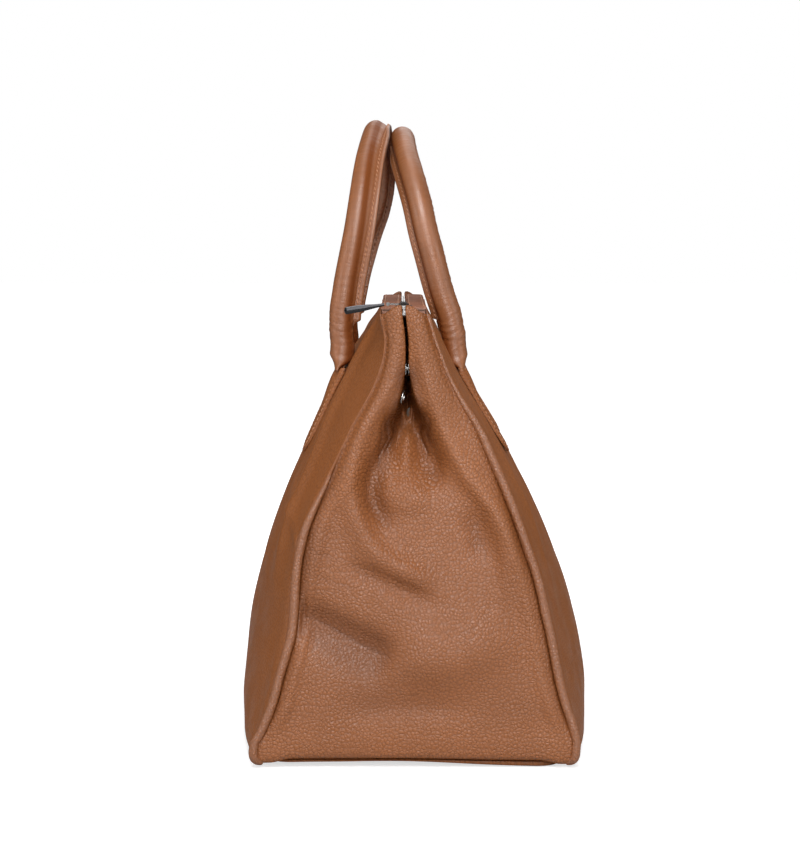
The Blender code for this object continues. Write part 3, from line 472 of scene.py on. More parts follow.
def cloth(name, color, pitch, depth):
    """A plain weave: two crossed sets of threads, from object coordinates."""
    made, shader, n = shader_of(name, color, 0.9)
    axes = n.add("ShaderNodeSeparateXYZ", {0: n.place}).outputs
    turns = 2 * math.pi / pitch
    warp = n.math("SINE", n.times(n.plus(axes[0], axes[1]), turns))
    weft = n.math("SINE", n.times(axes[2], turns))
    weave = n.plus(n.times(n.times(warp, weft), 0.5), 0.5)
    shade = n.plus(n.times(n.patches(60.0, 4.0), 0.7), n.times(weave, 0.3))
    shaded = n.mix(shade, tone(color, 0.75), tone(color, 1.1))
    n.dress(shader, shaded, n.plus(weave, n.noise(900.0, 2.0)), depth, 0.9)
    shader.inputs["Sheen Weight"].default_value = 0.2
    return made


TAN = (0.315, 0.108, 0.034)
# The gussets' leather takes the painted shade carried by their meshes
body_leather = leather("body_leather", TAN, shine=0.52, roughness=0.40, plane="yz", with_painted_shade=True)
panel_leather = leather(
    "panel_leather", tone(TAN, 0.98), depth=0.00022, shine=0.35, at_edge=0.015, plane="xz"
)
piping_leather = leather(
    "piping_leather", tone(TAN, 0.93), grain=620.0, depth=0.00036, roughness=0.38, shine=0.9, at_edge=0.02
)
base_leather = leather("base_leather", tone(TAN, 0.80), depth=0.00025, shine=0.3, plane="xy")
handle_leather = smooth_leather("handle_leather", tone(TAN, 0.97))
facing_leather = leather("facing_leather", (0.36, 0.155, 0.095), grain=900.0, depth=0.00008)
edge_paint = plain_surface("edge_paint", tone(TAN, 0.80), 0.6, 900.0, 0.00005)
dark_edge = plain_surface("dark_edge", (0.13, 0.05, 0.022), 0.5, 900.0, 0.00005)
thread = plain_surface("thread", (0.46, 0.21, 0.11), 0.6, 2600.0, 0.00008, 0.2)
dark_thread = plain_surface("dark_thread", (0.22, 0.085, 0.035), 0.6, 2600.0, 0.00008, 0.2)
lining_cloth = cloth("lining_cloth", (0.20, 0.14, 0.10), 0.0011, 0.00008)
tape_cloth = cloth("tape_cloth", (0.12, 0.065, 0.04), 0.0009, 0.00010)
board_fibre = plain_surface("board_fibre", (0.30, 0.26, 0.20), 0.9, 500.0, 0.0001)
cord_fibre = plain_surface("cord_fibre", (0.62, 0.56, 0.46), 0.9, 900.0, 0.0002)
nickel = metal("nickel", (0.58, 0.57, 0.56), 0.22)
bright_nickel = metal("bright_nickel", (0.24, 0.235, 0.23), 0.24)
# A darker copy of the nickel: painted shade for the open socket, which sits in the fold's shade
shaded_nickel = metal("shaded_nickel", (0.07, 0.066, 0.062), 0.45)
chain_nickel = metal("chain_nickel", (0.34, 0.335, 0.33), 0.26)
link_nickel = metal("link_nickel", (0.11, 0.108, 0.106), 0.26)
dark_chrome = metal("dark_chrome", (0.035, 0.034, 0.036), 0.15, 0.06)


# Mesh helpers


def piece(data, body, surfaces, stands_for=()):
    """An object with this mesh and its name. It stands for solids of the frame, if any are named."""
    obj = bpy.data.objects.new(data.name, data)
    bpy.context.scene.collection.objects.link(obj)
    for surface in surfaces:
        data.materials.append(surface)
    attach(obj, body)
    if stands_for:
        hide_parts(*stands_for)
    return obj


def grid_faces(rows, columns, around=False):
    k = np.arange(rows * columns).reshape(rows, columns)
    if around:
        k = np.concatenate((k, k[:, :1]), axis=1)
    return np.stack((k[:-1, :-1], k[:-1, 1:], k[1:, 1:], k[1:, :-1]), -1).reshape(-1, 4).tolist()


def grid_normals(grid):
    down, along = np.gradient(grid, axis=0), np.gradient(grid, axis=1)
    made = np.cross(along, down)
    return made / np.maximum(np.linalg.norm(made, axis=-1, keepdims=True), 1e-12)


def plain_mesh(name, points, faces):
    data = bpy.data.meshes.new(name)
    data.from_pydata(points, [], faces)
    data.shade_smooth()
    return data


def keep_edges(data, degrees):
    """Smooth shading, apart from edges that turn more than this."""
    data.shade_smooth()
    data.set_sharp_from_angle(angle=math.radians(degrees))
    return data


def sheet_piece(name, grid, surfaces, stands_for, thickness=LEATHER):
    """A sheet of leather or cloth whose faces already point outward, thickened inward."""
    data = plain_mesh(name, grid.reshape(-1, 3).tolist(), grid_faces(*grid.shape[:2]))
    obj = piece(data, "bag", surfaces, [stands_for])
    solid = obj.modifiers.new("Thickness", "SOLIDIFY")
    solid.thickness = thickness
    solid.offset = -1.0
    solid.use_rim = True
    solid.material_offset_rim = len(surfaces) - 1
    return obj


def loft(name, rings, path=None):
    """Skins rings of points, closed at both ends."""
    rings = np.array(rings, float)
    count, sides = rings.shape[:2]
    faces = grid_faces(count, sides, True)
    faces.append(list(range(sides))[::-1])
    faces.append([(count - 1) * sides + k for k in range(sides)])
    data = plain_mesh(name, rings.reshape(-1, 3).tolist(), faces)
    if path is not None:
        made = data.attributes.new("path", "FLOAT_VECTOR", "POINT")
        made.data.foreach_set("vector", np.array(path, np.float32).reshape(-1))
    shape = bmesh.new()
    shape.from_mesh(data)
    bmesh.ops.recalc_face_normals(shape, faces=shape.faces)
    shape.to_mesh(data)
    shape.free()
    return keep_edges(data, 50)


def circle(count, radius=1.0):
    angles = np.linspace(0, 2 * math.pi, count, endpoint=False)
    return [(radius * math.cos(a), radius * math.sin(a)) for a in angles]


def tube(name, line, radii, sides):
    along = np.gradient(line, axis=0)
    along /= np.linalg.norm(along, axis=1, keepdims=True)
    side = np.cross(along, (1.0, 0.0, 0.0))
    side /= np.linalg.norm(side, axis=1, keepdims=True)
    rise = np.cross(side, along)
    turn = np.array(circle(sides))
    offsets = turn[:, :1] * side[:, None] + turn[:, 1:] * rise[:, None]
    return loft(name, line[:, None] + offsets * radii[:, None, None])


def stitch_mesh(name, places, directions, normals, length=0.0024, radius=0.00036, slant=0.2):
    """One squashed thread loop at each place, turned a little off the seam."""
    ring = circle(6)
    profile = ((-1.0, 0.25), (-0.75, 0.8), (0.0, 1.0), (0.75, 0.8), (1.0, 0.25))
    verts, faces = [], []
    for place, direction, normal in zip(places, directions, normals):
        place, direction, normal = Vector(place), Vector(direction).normalized(), Vector(normal).normalized()
        direction = (Matrix.Rotation(slant, 3, normal) @ direction).normalized()
        side = direction.cross(normal)
        start = len(verts)
        for t, size in profile:
            dip = normal * (radius * (0.55 - 0.9 * t * t))
            middle = place + direction * (t * length / 2) + dip
            verts += [middle + side * (radius * size * c) + normal * (radius * size * s) for c, s in ring]
        for r in range(len(profile) - 1):
            for k in range(6):
                a, b = start + 6 * r + k, start + 6 * r + (k + 1) % 6
                faces.append((a, b, b + 6, a + 6))
    return plain_mesh(name, verts, faces)


def seam(name, line, normals, body, pitch=0.003, surface=thread, **shape):
    """A row of stitches along a line on a surface, whose normals may be one for all."""
    line = np.array(line, float)
    normals = np.broadcast_to(np.array(normals, float), line.shape)
    lengths = lengths_along(line)
    at = np.arange(pitch / 2, lengths[-1], pitch)
    places, facing, ahead, behind = (
        np.stack([np.interp(at + shift, lengths, column) for column in values.T], -1)
        for values, shift in ((line, 0.0), (normals, 0.0), (line, pitch / 4), (line, -pitch / 4))
    )
    piece(stitch_mesh(name, places, ahead - behind, facing, **shape), body, [surface])


# Body shells

GUSSET_COLUMNS, GUSSET_ROWS = 221, 200
PANEL_COLUMNS, PANEL_ROWS = 181, 130
ARC_ROWS = 8
LOBE_RISE = 0.0050
LOBE_EDGE_RISE = 0.0022
SEAM_EDGE = 0.0016
SUNK_SEAM_EDGE = 0.0004
CORNER_SQUARENESS = 0.38
# Leather turned into the piping's seam and the roll beside it, below and above where the seam closes
SEAM_PINCH, SEAM_ROLL = 0.0022, 0.0024
UPPER_PINCH, UPPER_ROLL = 0.0013, 0.0012
PANEL_ROLL = 0.0019
LIP_CLOSURE = 0.0011
TONGUE_FLOOR = 0.011
GUSSET_UNEVENNESS = 0.0011
PANEL_UNEVENNESS = 0.0010
# The far end takes the photograph's forms from places this many pixels away, so that it isn't a copy
FAR_PLACES = np.array((4.0, 9.0))
# Weights of nearby places along a section, which round off its folds
SOFT_STEPS = ((-1.0, 0.15), (-0.5, 0.2), (0.0, 0.3), (0.5, 0.2), (1.0, 0.15))
# The height from which the piping sinks into the seam, the share of size it loses, and the depth, by side
PIPING_SINK = {-1: (0.120, 0.72, 0.0024), 1: (0.165, 0.55, 0.0010)}
LINING_CLOTH = 0.0006
BASE_HALF_SIZE = np.array((0.165, 0.078))
BASE_CORNER = 0.012
# The base patch's rounded edge, as (inset, height)
BASE_EDGE = (
    (0.030, 0.0001), (0.0008, 0.0001), (0.0002, 0.0006), (0.0, 0.0015), (0.0003, 0.0026), (0.0012, 0.0030),
    (0.03, 0.0030),
)
BASE_SEAM_INSET = 0.0035
BASE_SEAM_HEIGHT = 0.00048

# Lines in the photograph's pixels. Each form: height in mm, half widths in pixels on the positive and negative
# side that distance_to gives, the shares of its length over which its two ends fade, and its line
GUSSET_FORMS = (
    (4.2, (16, 10), (0.0, 0.12), (
        (398, 312), (397, 350), (392, 380), (379, 404), (365, 428), (356, 452), (352, 476), (353, 500),
        (360, 524), (372, 546), (392, 562), (418, 576), (442, 589),
    )),
    (4.2, (10, 16), (0.0, 0.2), (
        (416, 312), (421, 352), (427, 376), (434, 402), (443, 430), (453, 452), (467, 478), (484, 500),
        (499, 530), (507, 560), (506, 588), (490, 614),
    )),
    (-7.0, (10, 14), (0.15, 0.3), (
        (402, 404), (391, 428), (384, 448), (376, 466), (371, 484), (373, 504), (385, 524), (399, 540),
    )),
    (-7.0, (14, 10), (0.15, 0.4), ((413, 404), (420, 424), (428, 443), (434, 460), (435, 478), (429, 498))),
    (3.0, (8, 8), (0.2, 0.5), ((409, 410), (408, 435), (406, 460), (407, 500))),
    (2.0, (16, 16), (0.4, 0.4), ((407, 462), (410, 490), (420, 518))),
    (-2.8, (10, 10), (0.3, 0.35), ((338, 561), (376, 577), (405, 590), (434, 603), (452, 606))),
    (-6.4, (26, 18), (0.1, 0.25), ((288, 612), (322, 625), (350, 638), (380, 653), (402, 664))),
    (4.2, (26, 30), (0.3, 0.4), ((385, 650), (420, 660), (455, 656), (488, 640), (512, 612))),
    (-2.2, (20, 24), (0.35, 0.35), ((320, 720), (380, 710), (430, 708), (490, 716))),
    (-2.8, (13, 13), (0.4, 0.4), ((464, 500), (478, 535), (482, 570))),
)
# Where painted shade darkens the leather most, in the slit's opening and beside it: share in thousandths, and
# the rest as above
GUSSET_PAINTED_SHADE = (
    (1000, (11, 11), (0.0, 0.5), ((407, 376), (407, 394), (408, 416))),
    (700, (6, 7), (0.1, 0.6), ((401, 396), (394, 414), (386, 440), (379, 466))),
    (700, (7, 6), (0.1, 0.6), ((413, 396), (420, 412), (428, 432), (436, 456))),
)
# Each crease: depth in mm, width in pixels, and its line
GUSSET_CREASES = (
    (0.7, 1.8, ((295, 612), (325, 625), (350, 639), (380, 654), (402, 662))),
    (0.4, 1.8, ((330, 560), (352, 565), (378, 572), (408, 585), (438, 596))),
    (0.4, 1.6, ((345, 568), (372, 577), (400, 588), (425, 600))),
    (1.3, 1.7, ((394, 412), (386, 426), (388, 440), (379, 457), (378, 478))),
    (1.2, 1.5, ((399, 412), (392, 424), (394, 436), (386, 452), (384, 464))),
    (0.9, 1.5, ((391, 408), (382, 426), (381, 442), (374, 460))),
    (1.3, 1.7, ((417, 410), (424, 422), (420, 434), (425, 448), (432, 464))),
    (0.9, 1.5, ((421, 408), (430, 422), (427, 436), (434, 452))),
    (0.4, 2.0, ((310, 575), (335, 583), (362, 590))),
    (0.3, 2.0, ((450, 640), (470, 628), (492, 606))),
    (0.4, 2.0, ((300, 540), (316, 552), (338, 560))),
)


def corner(angle):
    """The lower corner's (outward, downward) shares: squarer than an arc, as leather turns over a board."""
    return tuple(max(turn(angle), 0.0) ** CORNER_SQUARENESS for turn in (math.cos, math.sin))


def closed_over(z):
    """The share by which the leathers have closed over the piping, higher up."""
    return smooth_step((z - 0.13) / 0.05)


def above_corner(z):
    return smooth_step((z - CORNER_TOP) / 0.02)


def seam_edge(z):
    """How far the leather ends from the seam's line."""
    return SEAM_EDGE + (SUNK_SEAM_EDGE - SEAM_EDGE) * closed_over(z)


def sheet_rows(count):
    """Rows from the underside up, as (kind, value): the flat flange, the corner's arc and the wall."""
    rows = [("flange", math.pi / 2)] + [("arc", math.pi / 2 * (1 - k / ARC_ROWS)) for k in range(ARC_ROWS)]
    return rows + [("side", k / count) for k in range(count + 1)]


def gusset_section(across, z, rounding):
    """(y from the middle, x, share of the way from the fold to the seam) of the near gusset at heights z."""
    end = half_length(z)
    depth = half_depth(end, z)
    share = z / BODY_HEIGHT
    opening = SLIT_HALF_GAP + (depth - SLIT_HALF_GAP) * read_curve(FOLD_OPENING_SHARES, share)
    wall = np.maximum(FOLD_HALF_WIDTH - (depth - opening), opening)
    fold = np.sqrt(wall * wall - opening * opening) * smooth_step((share - 0.56) / 0.15)
    edge = depth - seam_edge(z)
    mouth, total = edge - opening, edge - opening + np.hypot(opening, fold)
    size = np.abs(across)
    inside = total - (total - mouth) * size / 0.5
    at = np.where(size > 0.5, mouth * (1 - size) / 0.5, inside)
    reach = np.minimum(rounding, at)
    y = x = 0.0
    for step, weight in SOFT_STEPS:
        s = at + step * reach
        side = np.where(s > total, -1.0, 1.0)
        s = np.where(s > total, 2 * total - s, s)
        t = np.clip((s - mouth) / np.maximum(total - mouth, 1e-9), 0, 1)
        y = y + weight * side * np.where(s <= mouth, edge - s, opening * (1 - t))
        x = x + weight * (end - fold * t)
    to_edge = smooth_step((y - opening) / (depth - opening))
    # The lips of the slit's mouth close towards each other
    lips = LIP_CLOSURE * smooth_step((share - 0.84) / 0.04) * bell(end - x, 0.0035)
    y = y - lips * np.exp(-np.maximum(y - opening, 0) / 0.005) * smooth_step(size * 2.5)
    return y, x, to_edge


def gusset_grid(end_side):
    """The near gusset's folded form as a grid, with seams that stray as at this end."""
    across = np.linspace(-1, 1, GUSSET_COLUMNS)
    side_sign = np.where(across < 0, -1.0, 1.0)
    _, at_top, _ = gusset_section(across, np.full_like(across, GUSSET_TOP), 0.003)
    folded_in = half_length(GUSSET_TOP) - at_top
    top = GUSSET_TOP - GUSSET_DIP * smooth_step(folded_in / GUSSET_DIP_LENGTH)
    lobe = LOBE_EDGE_RISE + LOBE_RISE * smooth_step((1 - np.abs(across)) * 2.2)
    top += lobe * smooth_step(1 - folded_in / 0.006)
    rows = []
    for kind, value in sheet_rows(GUSSET_ROWS):
        if kind == "side":
            z = CORNER_TOP + (top - CORNER_TOP) * value
            share = z / BODY_HEIGHT
            y, x, to_edge = gusset_section(across, z, 0.002 + 0.007 * smooth_step((0.82 - share) / 0.2))
            end = half_length(z)
            recess = end - x
            # Below the slit the fold's floor comes forward as a tongue between two valleys
            shallow = smooth_step((0.790 - 0.080 * np.minimum(np.abs(y) / 0.015, 1.0) - share) / 0.070)
            floor = TONGUE_FLOOR * smooth_step((share - 0.52) / 0.22)
            x = end - (recess * (1 - shallow) + shallow * np.minimum(recess, floor + 0.15 * recess))
            rise = np.sin(math.pi * np.minimum(z / (BODY_HEIGHT * 0.62), 1.0)) ** 2
            x = x + GUSSET_BULGE * rise * (1 - across * across)
            y = y * side_sign + (fold_middle(z) * (1 - to_edge) + lean(end, z) * to_edge)
        else:
            end = half_length(CORNER_TOP) - CORNER_RADIUS
            depth = half_depth(half_length(CORNER_TOP), CORNER_TOP) - CORNER_RADIUS
            out, down = corner(value)
            x, z = end + CORNER_RADIUS * out, CORNER_TOP - CORNER_RADIUS * down
            y = across * (depth + CORNER_RADIUS * out - SEAM_EDGE)
            if kind == "flange":
                x, z = FLANGE_HALF_LENGTH, UNDERSIDE
                y = across * (depth - max(end - FLANGE_HALF_LENGTH, 0.0) - SEAM_EDGE)
            to_edge = smooth_step(np.abs(across))
        y = y + np.where(across < 0, seam_sway(-1, end_side, z), seam_sway(1, end_side, z)) * to_edge
        rows.append(np.stack(np.broadcast_arrays(x, y, z), -1))
    return np.array(rows)


def gusset_outer(end_side):
    """The gusset's outer surface with the photograph's ridges, hollows and creases, and the shade painted into
    its colour.
    """
    across = np.linspace(-1, 1, GUSSET_COLUMNS)
    grid = gusset_grid(end_side)
    height = grid[..., 2]
    places = to_pixels(np.stack((half_length(height), grid[..., 1] * end_side, height), -1))
    if end_side < 0:
        places = places + FAR_PLACES
    low = above_corner(height)
    near_seam = smooth_step((1 - np.abs(across)) * 9)
    upper = smooth_step((0.2420 - height) / 0.004)
    creased = creases(GUSSET_CREASES, places) * near_seam * low
    shift = relief(GUSSET_FORMS, places) * near_seam * low + creased
    slit = smooth_step((half_length(height) - grid[..., 0] - 0.016) / 0.006)
    shift *= 1 - slit
    calm = near_seam * low * upper * (1 - slit)
    shift += unevenness(grid, 0.030, GUSSET_UNEVENNESS, 3.0 * end_side) * calm
    # Leather turned into the piping's seam, and a soft roll beside it
    beside = (1 - np.abs(across)) * np.abs(half_depth(half_length(height), height)) * 0.9
    pinched = low * (1 - 0.8 * closed_over(height))
    shift += (SEAM_ROLL * bell(beside - 0.0085, 0.0055) - SEAM_PINCH * bell(beside, 0.0016)) * pinched
    shift += (UPPER_ROLL * bell(beside, 0.007) - UPPER_PINCH * bell(beside, 0.0026)) * (low - pinched)
    # Painted shade in the colour: darker beside the seams, along the front seam at mid height, and in the
    # hollows and creases, where shade falls
    bent = smooth_step(-grid[..., 1] / 0.02) * bell(height - 0.108, 0.026)
    painted_shade = 0.50 * bell(beside, 0.0050) * (0.2 * low + 0.8 * pinched) + 0.40 * bent * bell(beside, 0.014)
    hollow = 0.34 * smooth_step(-shift / 0.0045) * smooth_step(beside / 0.006)
    painted_shade += hollow + 0.45 * smooth_step(-creased / 0.0007)
    # Darker towards the bottom, away from the seams
    lower = 0.16 * smooth_step(beside / 0.025) * smooth_step((0.170 - height) / 0.04) * low
    painted_shade = np.minimum(painted_shade, 0.7) + lower
    # A narrow painted shadow on the seam line, and the painted shade of the slit's opening
    painted_shade += 0.8 * bell(beside, 0.0012) * pinched + relief(GUSSET_PAINTED_SHADE, places)
    painted_shade = np.minimum(painted_shade, 1.0)
    grid[..., 0] = (grid[..., 0] + shift) * end_side
    grid[..., 2] += base_lift(grid[..., 0], grid[..., 1], grid[..., 2])
    return (grid, painted_shade) if end_side > 0 else (grid[:, ::-1], painted_shade[:, ::-1])


def panel_relief(side, x, z):
    """How far a panel's leather lies in (-) or out (+) of its plain form.

    A drawn line runs down from the handles, folds and waves stand near the ends, and the middle is hollow.
    """
    share = z / BODY_HEIGHT
    across = z - 0.147 - 0.36 * (side * x + 0.085)
    draw = 0.0012 * bell(across, 0.0045) * smooth_step((-side * x - 0.075) / 0.035)
    hollow = -0.0008 * bell(x, 0.06) * bell(share - 0.62, 0.16)
    slope = np.abs(x) - (0.150 - 0.055 * share)
    fold = (0.0020 - 0.0008 * side) * bell(slope, 0.008) * smooth_step((share - 0.35) / 0.2)
    wave = -0.0014 * bell(np.abs(x) - 0.115, 0.018) * bell(share - 0.28 - 0.05 * side, 0.14)
    calm = smooth_step((0.985 - share) / 0.05) * smooth_step((0.170 - np.abs(x)) / 0.02)
    return (hollow + fold + wave + draw) * calm


def panel_top(x):
    return BODY_HEIGHT - TOP_DROP * np.minimum(np.abs(x) / TOP_HALF_LENGTH, 1.0) ** 8


def panel_outer(side):
    along = np.sin(math.pi / 2 * np.linspace(-1, 1, PANEL_COLUMNS))
    rows = []
    for kind, value in sheet_rows(PANEL_ROWS):
        if kind == "side":
            x = along * (half_length(CORNER_TOP) - SEAM_EDGE)
            z = CORNER_TOP + (panel_top(x) - CORNER_TOP) * value
            x = along * (half_length(z) - seam_edge(z))
            y = side * half_depth(x, z) + lean(x, z)
        else:
            out, down = corner(value)
            x = along * (half_length(CORNER_TOP) - CORNER_RADIUS + CORNER_RADIUS * out - SEAM_EDGE)
            z = CORNER_TOP - CORNER_RADIUS * down
            depth = half_depth(x, CORNER_TOP) - CORNER_RADIUS + CORNER_RADIUS * out
            y = side * FLANGE_HALF_WIDTH if kind == "flange" else side * depth + lean(x, CORNER_TOP)
        rows.append(np.stack(np.broadcast_arrays(x, y, z), -1))
    grid = np.array(rows)
    x, z = grid[..., 0], grid[..., 2]
    low = above_corner(z)
    beside = (1 - np.abs(along)) * 0.16
    shift = panel_relief(side, x, z) * low
    shift += PANEL_ROLL * bell(beside, 0.011) * low * (1 - 0.95 * closed_over(z))
    calm = smooth_step((BODY_HEIGHT * 0.93 - z) / 0.03) * low * smooth_step(beside * 60)
    shift += unevenness(grid, 0.045, PANEL_UNEVENNESS, 7.0 * side) * calm
    grid[..., 1] += side * shift
    sway = np.where(x > 0, seam_sway(side, 1, z), seam_sway(side, -1, z))
    grid[..., 1] += sway * np.abs(x / half_length(z)) ** 8
    return grid if side > 0 else grid[:, ::-1]


def lining_grid(grid, step):
    """A coarser copy of an outer surface, moved inward."""
    return (grid + grid_normals(grid) * -LINING_INSET)[::step, ::step]


def outward(grid, check):
    """The grid turned so that its normals point the way of check."""
    return grid if float((grid_normals(grid) * check).sum()) > 0 else grid[:, ::-1]


def make_body():
    for name, side in SIDES:
        grid = outward(panel_outer(side), np.array((0, side, 0)))
        panel, lining = f"{name}_panel", f"{name}_lining"
        sheet_piece(f"{panel}_leather", grid, [panel_leather, edge_paint], panel)
        grid = lining_grid(grid[3:-3, 4:-4], 4)
        sheet_piece(f"{lining}_cloth", grid, [lining_cloth], lining, LINING_CLOTH)
    for end_name, end_side in ENDS:
        grid, painted_shade = gusset_outer(end_side)
        gusset, lining = f"{end_name}_gusset", f"{end_name}_gusset_lining"
        obj = sheet_piece(f"{gusset}_leather", grid, [body_leather, edge_paint], gusset)
        # The gusset's painted shade rides on its mesh, for its leather to read
        obj.data.attributes.new("painted_shade", "FLOAT", "POINT").data.foreach_set("value", painted_shade.ravel())
        grid = lining_grid(grid[3:-4, 8:-8], 3)
        sheet_piece(f"{lining}_cloth", grid, [lining_cloth], lining, LINING_CLOTH)


def piping_line(side, end_side):
    end = half_length(CORNER_TOP)
    depth = half_depth(end, CORNER_TOP)
    points = []
    for k in range(12):
        out, down = corner(math.radians(72) * (1 - k / 12))
        back = CORNER_RADIUS * (1 - out)
        points.append((end_side * (end - back), side * (depth - back), CORNER_TOP - CORNER_RADIUS * down))
    z = np.linspace(CORNER_TOP, GUSSET_TOP + 0.0018, 160)
    x = half_length(z)
    points += list(zip(end_side * x, side * half_depth(x, z) + lean(x, z), z))
    points = np.array(points, float)
    points[:, 1] += seam_sway(side, end_side, points[:, 2])
    return points


def make_piping():
    for end_name, end_side in ENDS:
        for side_name, side in SIDES:
            from_height, lost, depth = PIPING_SINK[side]
            line = piping_line(side, end_side)
            sunk = smooth_step((line[:, 2] - from_height) / 0.045)
            line[:, 0] -= end_side * depth * sunk
            size = (1 - lost * sunk) * (1 + 0.03 * np.sin(line[:, 2] * 310 + side) * np.sin(line[:, 2] * 97))
            name = f"{side_name}_{end_name}_piping"
            data = tube(f"{name}_roll", line, PIPING_RADIUS * size, 20)
            piece(data, "bag", [piping_leather], [name])


def rounded_outline(half_x, half_y, steps, count):
    """A rectangle with rounded corners, as count - 1 evenly spaced points."""
    points = []
    for quarter, (sx, sy) in enumerate(((1, 1), (-1, 1), (-1, -1), (1, -1))):
        for k in range(steps + 1):
            angle = (quarter + k / steps) * math.pi / 2
            points.append((sx * (half_x - BASE_CORNER) + BASE_CORNER * math.cos(angle),
                           sy * (half_y - BASE_CORNER) + BASE_CORNER * math.sin(angle)))
    return spline(points + points[:1], count)[:-1]


def make_base():
    """The patch under the bag, with rounded edges and a stitched border, and the lining above it."""
    outline = rounded_outline(*BASE_HALF_SIZE, 10, 240)
    rings = []
    for inset, z in BASE_EDGE:
        ring = outline * (1 - inset / BASE_HALF_SIZE)
        rings.append(np.column_stack((ring, z + (PATCH_ARCH - 0.6 * z) * base_arch(*ring.T))))
    piece(loft("base_patch", rings), "bag", [base_leather], ["base_panel"])
    inner = outline * (1 - BASE_SEAM_INSET / BASE_HALF_SIZE)
    line = np.column_stack((inner, BASE_SEAM_HEIGHT + PATCH_ARCH * base_arch(*inner.T)))
    seam("base_seam", line, (0.0, 0.0, -1.0), "bag", radius=0.0003)
    low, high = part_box("base_lining")
    half = (high - low) / 2
    outline = rounded_outline(half.x, half.y, 8, 120)
    rings = [np.column_stack((outline * share, np.full(len(outline), z)))
             for share, z in ((0.5, low.z), (1.0, low.z), (1.0, high.z), (0.5, high.z))]
    piece(loft("base_lining_cloth", rings), "bag", [lining_cloth], ["base_lining"])


# Handles

FLANGE_STITCHES = TUBE_RADIUS + 0.0011
FLANGE_STITCH_HEIGHT = 0.00128
SECTION_STEPS = 48
FIRST_ANGLE = 0.235
GROOVE_ANGLE = 0.62
CHAPE_SEAM_INSET = 0.0028
CHAPE_LOWER_THICKNESS = 0.0016
CHAPE_LEATHER = 0.0008
HINGE_CLEARANCE = 0.00015


def chape_y(side, x, z, proud):
    return side * (half_depth(x, z) + panel_relief(side, x, z) + proud) + lean(x, z)


def handle_hinge(side):
    proud = GAP + CHAPE_THICKNESS + HINGE_CLEARANCE
    x, z = HANDLE_HALF_SPACING, HINGE_HEIGHT
    return Vector((0.0, float(side * (half_depth(x, z) + proud) + lean(x, z)), HINGE_HEIGHT))


def handle_axes(side):
    apex = side * (TUBE_RADIUS + APEX_CLEARANCE / 2) - APEX_LEAN
    tilt = math.asin(side * (handle_hinge(side).y - apex) / HANDLE_LENGTH)
    rise = Vector((0.0, -side * math.sin(tilt), math.cos(tilt)))
    inward = Vector((0.0, -side * math.cos(tilt), -math.sin(tilt)))
    return rise, inward


def handle_stations(leg_steps=160, arch_steps=330):
    """Places along the arch: (x, height above the hinge, angle of the path, length so far)."""
    radius, leg = HANDLE_HALF_SPACING, HANDLE_LENGTH - HANDLE_HALF_SPACING
    up = [(radius, height, math.pi / 2) for height in np.linspace(0.0004, leg, leg_steps)[:-1]]
    turns = [math.pi * k / arch_steps for k in range(arch_steps + 1)]
    over = [(radius * math.cos(turn), leg + radius * math.sin(turn), math.pi / 2 + turn) for turn in turns]
    down = [(-x, height, 3 * math.pi / 2) for x, height, _ in reversed(up)]
    places = up + over + down
    return [(*place, length) for place, length in zip(places, lengths_along([place[:2] for place in places]))]


def place_on_handle(side, station, outline):
    """Places (outward, inward) points on a station of a handle."""
    x, distance, angle, _ = station
    rise, inward = handle_axes(side)
    shift = float(read_curve(FAR_LEG_SHIFT[side], distance * 1000)) / 1000
    shift *= ((1 - x / HANDLE_HALF_SPACING) / 2) ** 2
    shift *= eased((distance - TONGUE_LENGTH) / TONGUE_LENGTH)
    height = distance - HANDLE_SAG[side] * eased((distance - 0.112) / 0.027)
    seat = TONGUE_THICKNESS / 2 * (1 - eased(distance / TONGUE_LENGTH))
    bow = float(read_curve(LEG_BOW[side], distance * 1000)) / 1000
    centre = handle_hinge(side) + Vector((x, 0, 0)) + rise * height + inward * (shift + seat - bow)
    out = Vector((math.sin(angle), 0, 0)) - rise * math.cos(angle)
    return [centre + out * a + inward * b for a, b in outline]


def handle_shape(side, distance, points):
    """Turns and flattens (along the flange, across it) points as the cover does at this distance."""
    turn = -side * FLANGE_TURN * eased((distance - TURN_START[side]) / TURN_LENGTH[side])
    pressed = 1 - eased(distance / 0.009)
    width = 1 + pressed * (TONGUE_WIDTH / 2 / TUBE_RADIUS - 1)
    depth = 1 + pressed * (TONGUE_THICKNESS / 2 / TUBE_RADIUS - 1)
    return [
        ((a * math.sin(turn) + b * math.cos(turn)) * width, (a * math.cos(turn) - b * math.sin(turn)) * depth)
        for a, b in points
    ]


def flange_share(side, distance):
    return eased((distance - FLANGE_START[side]) / FLANGE_FADE)


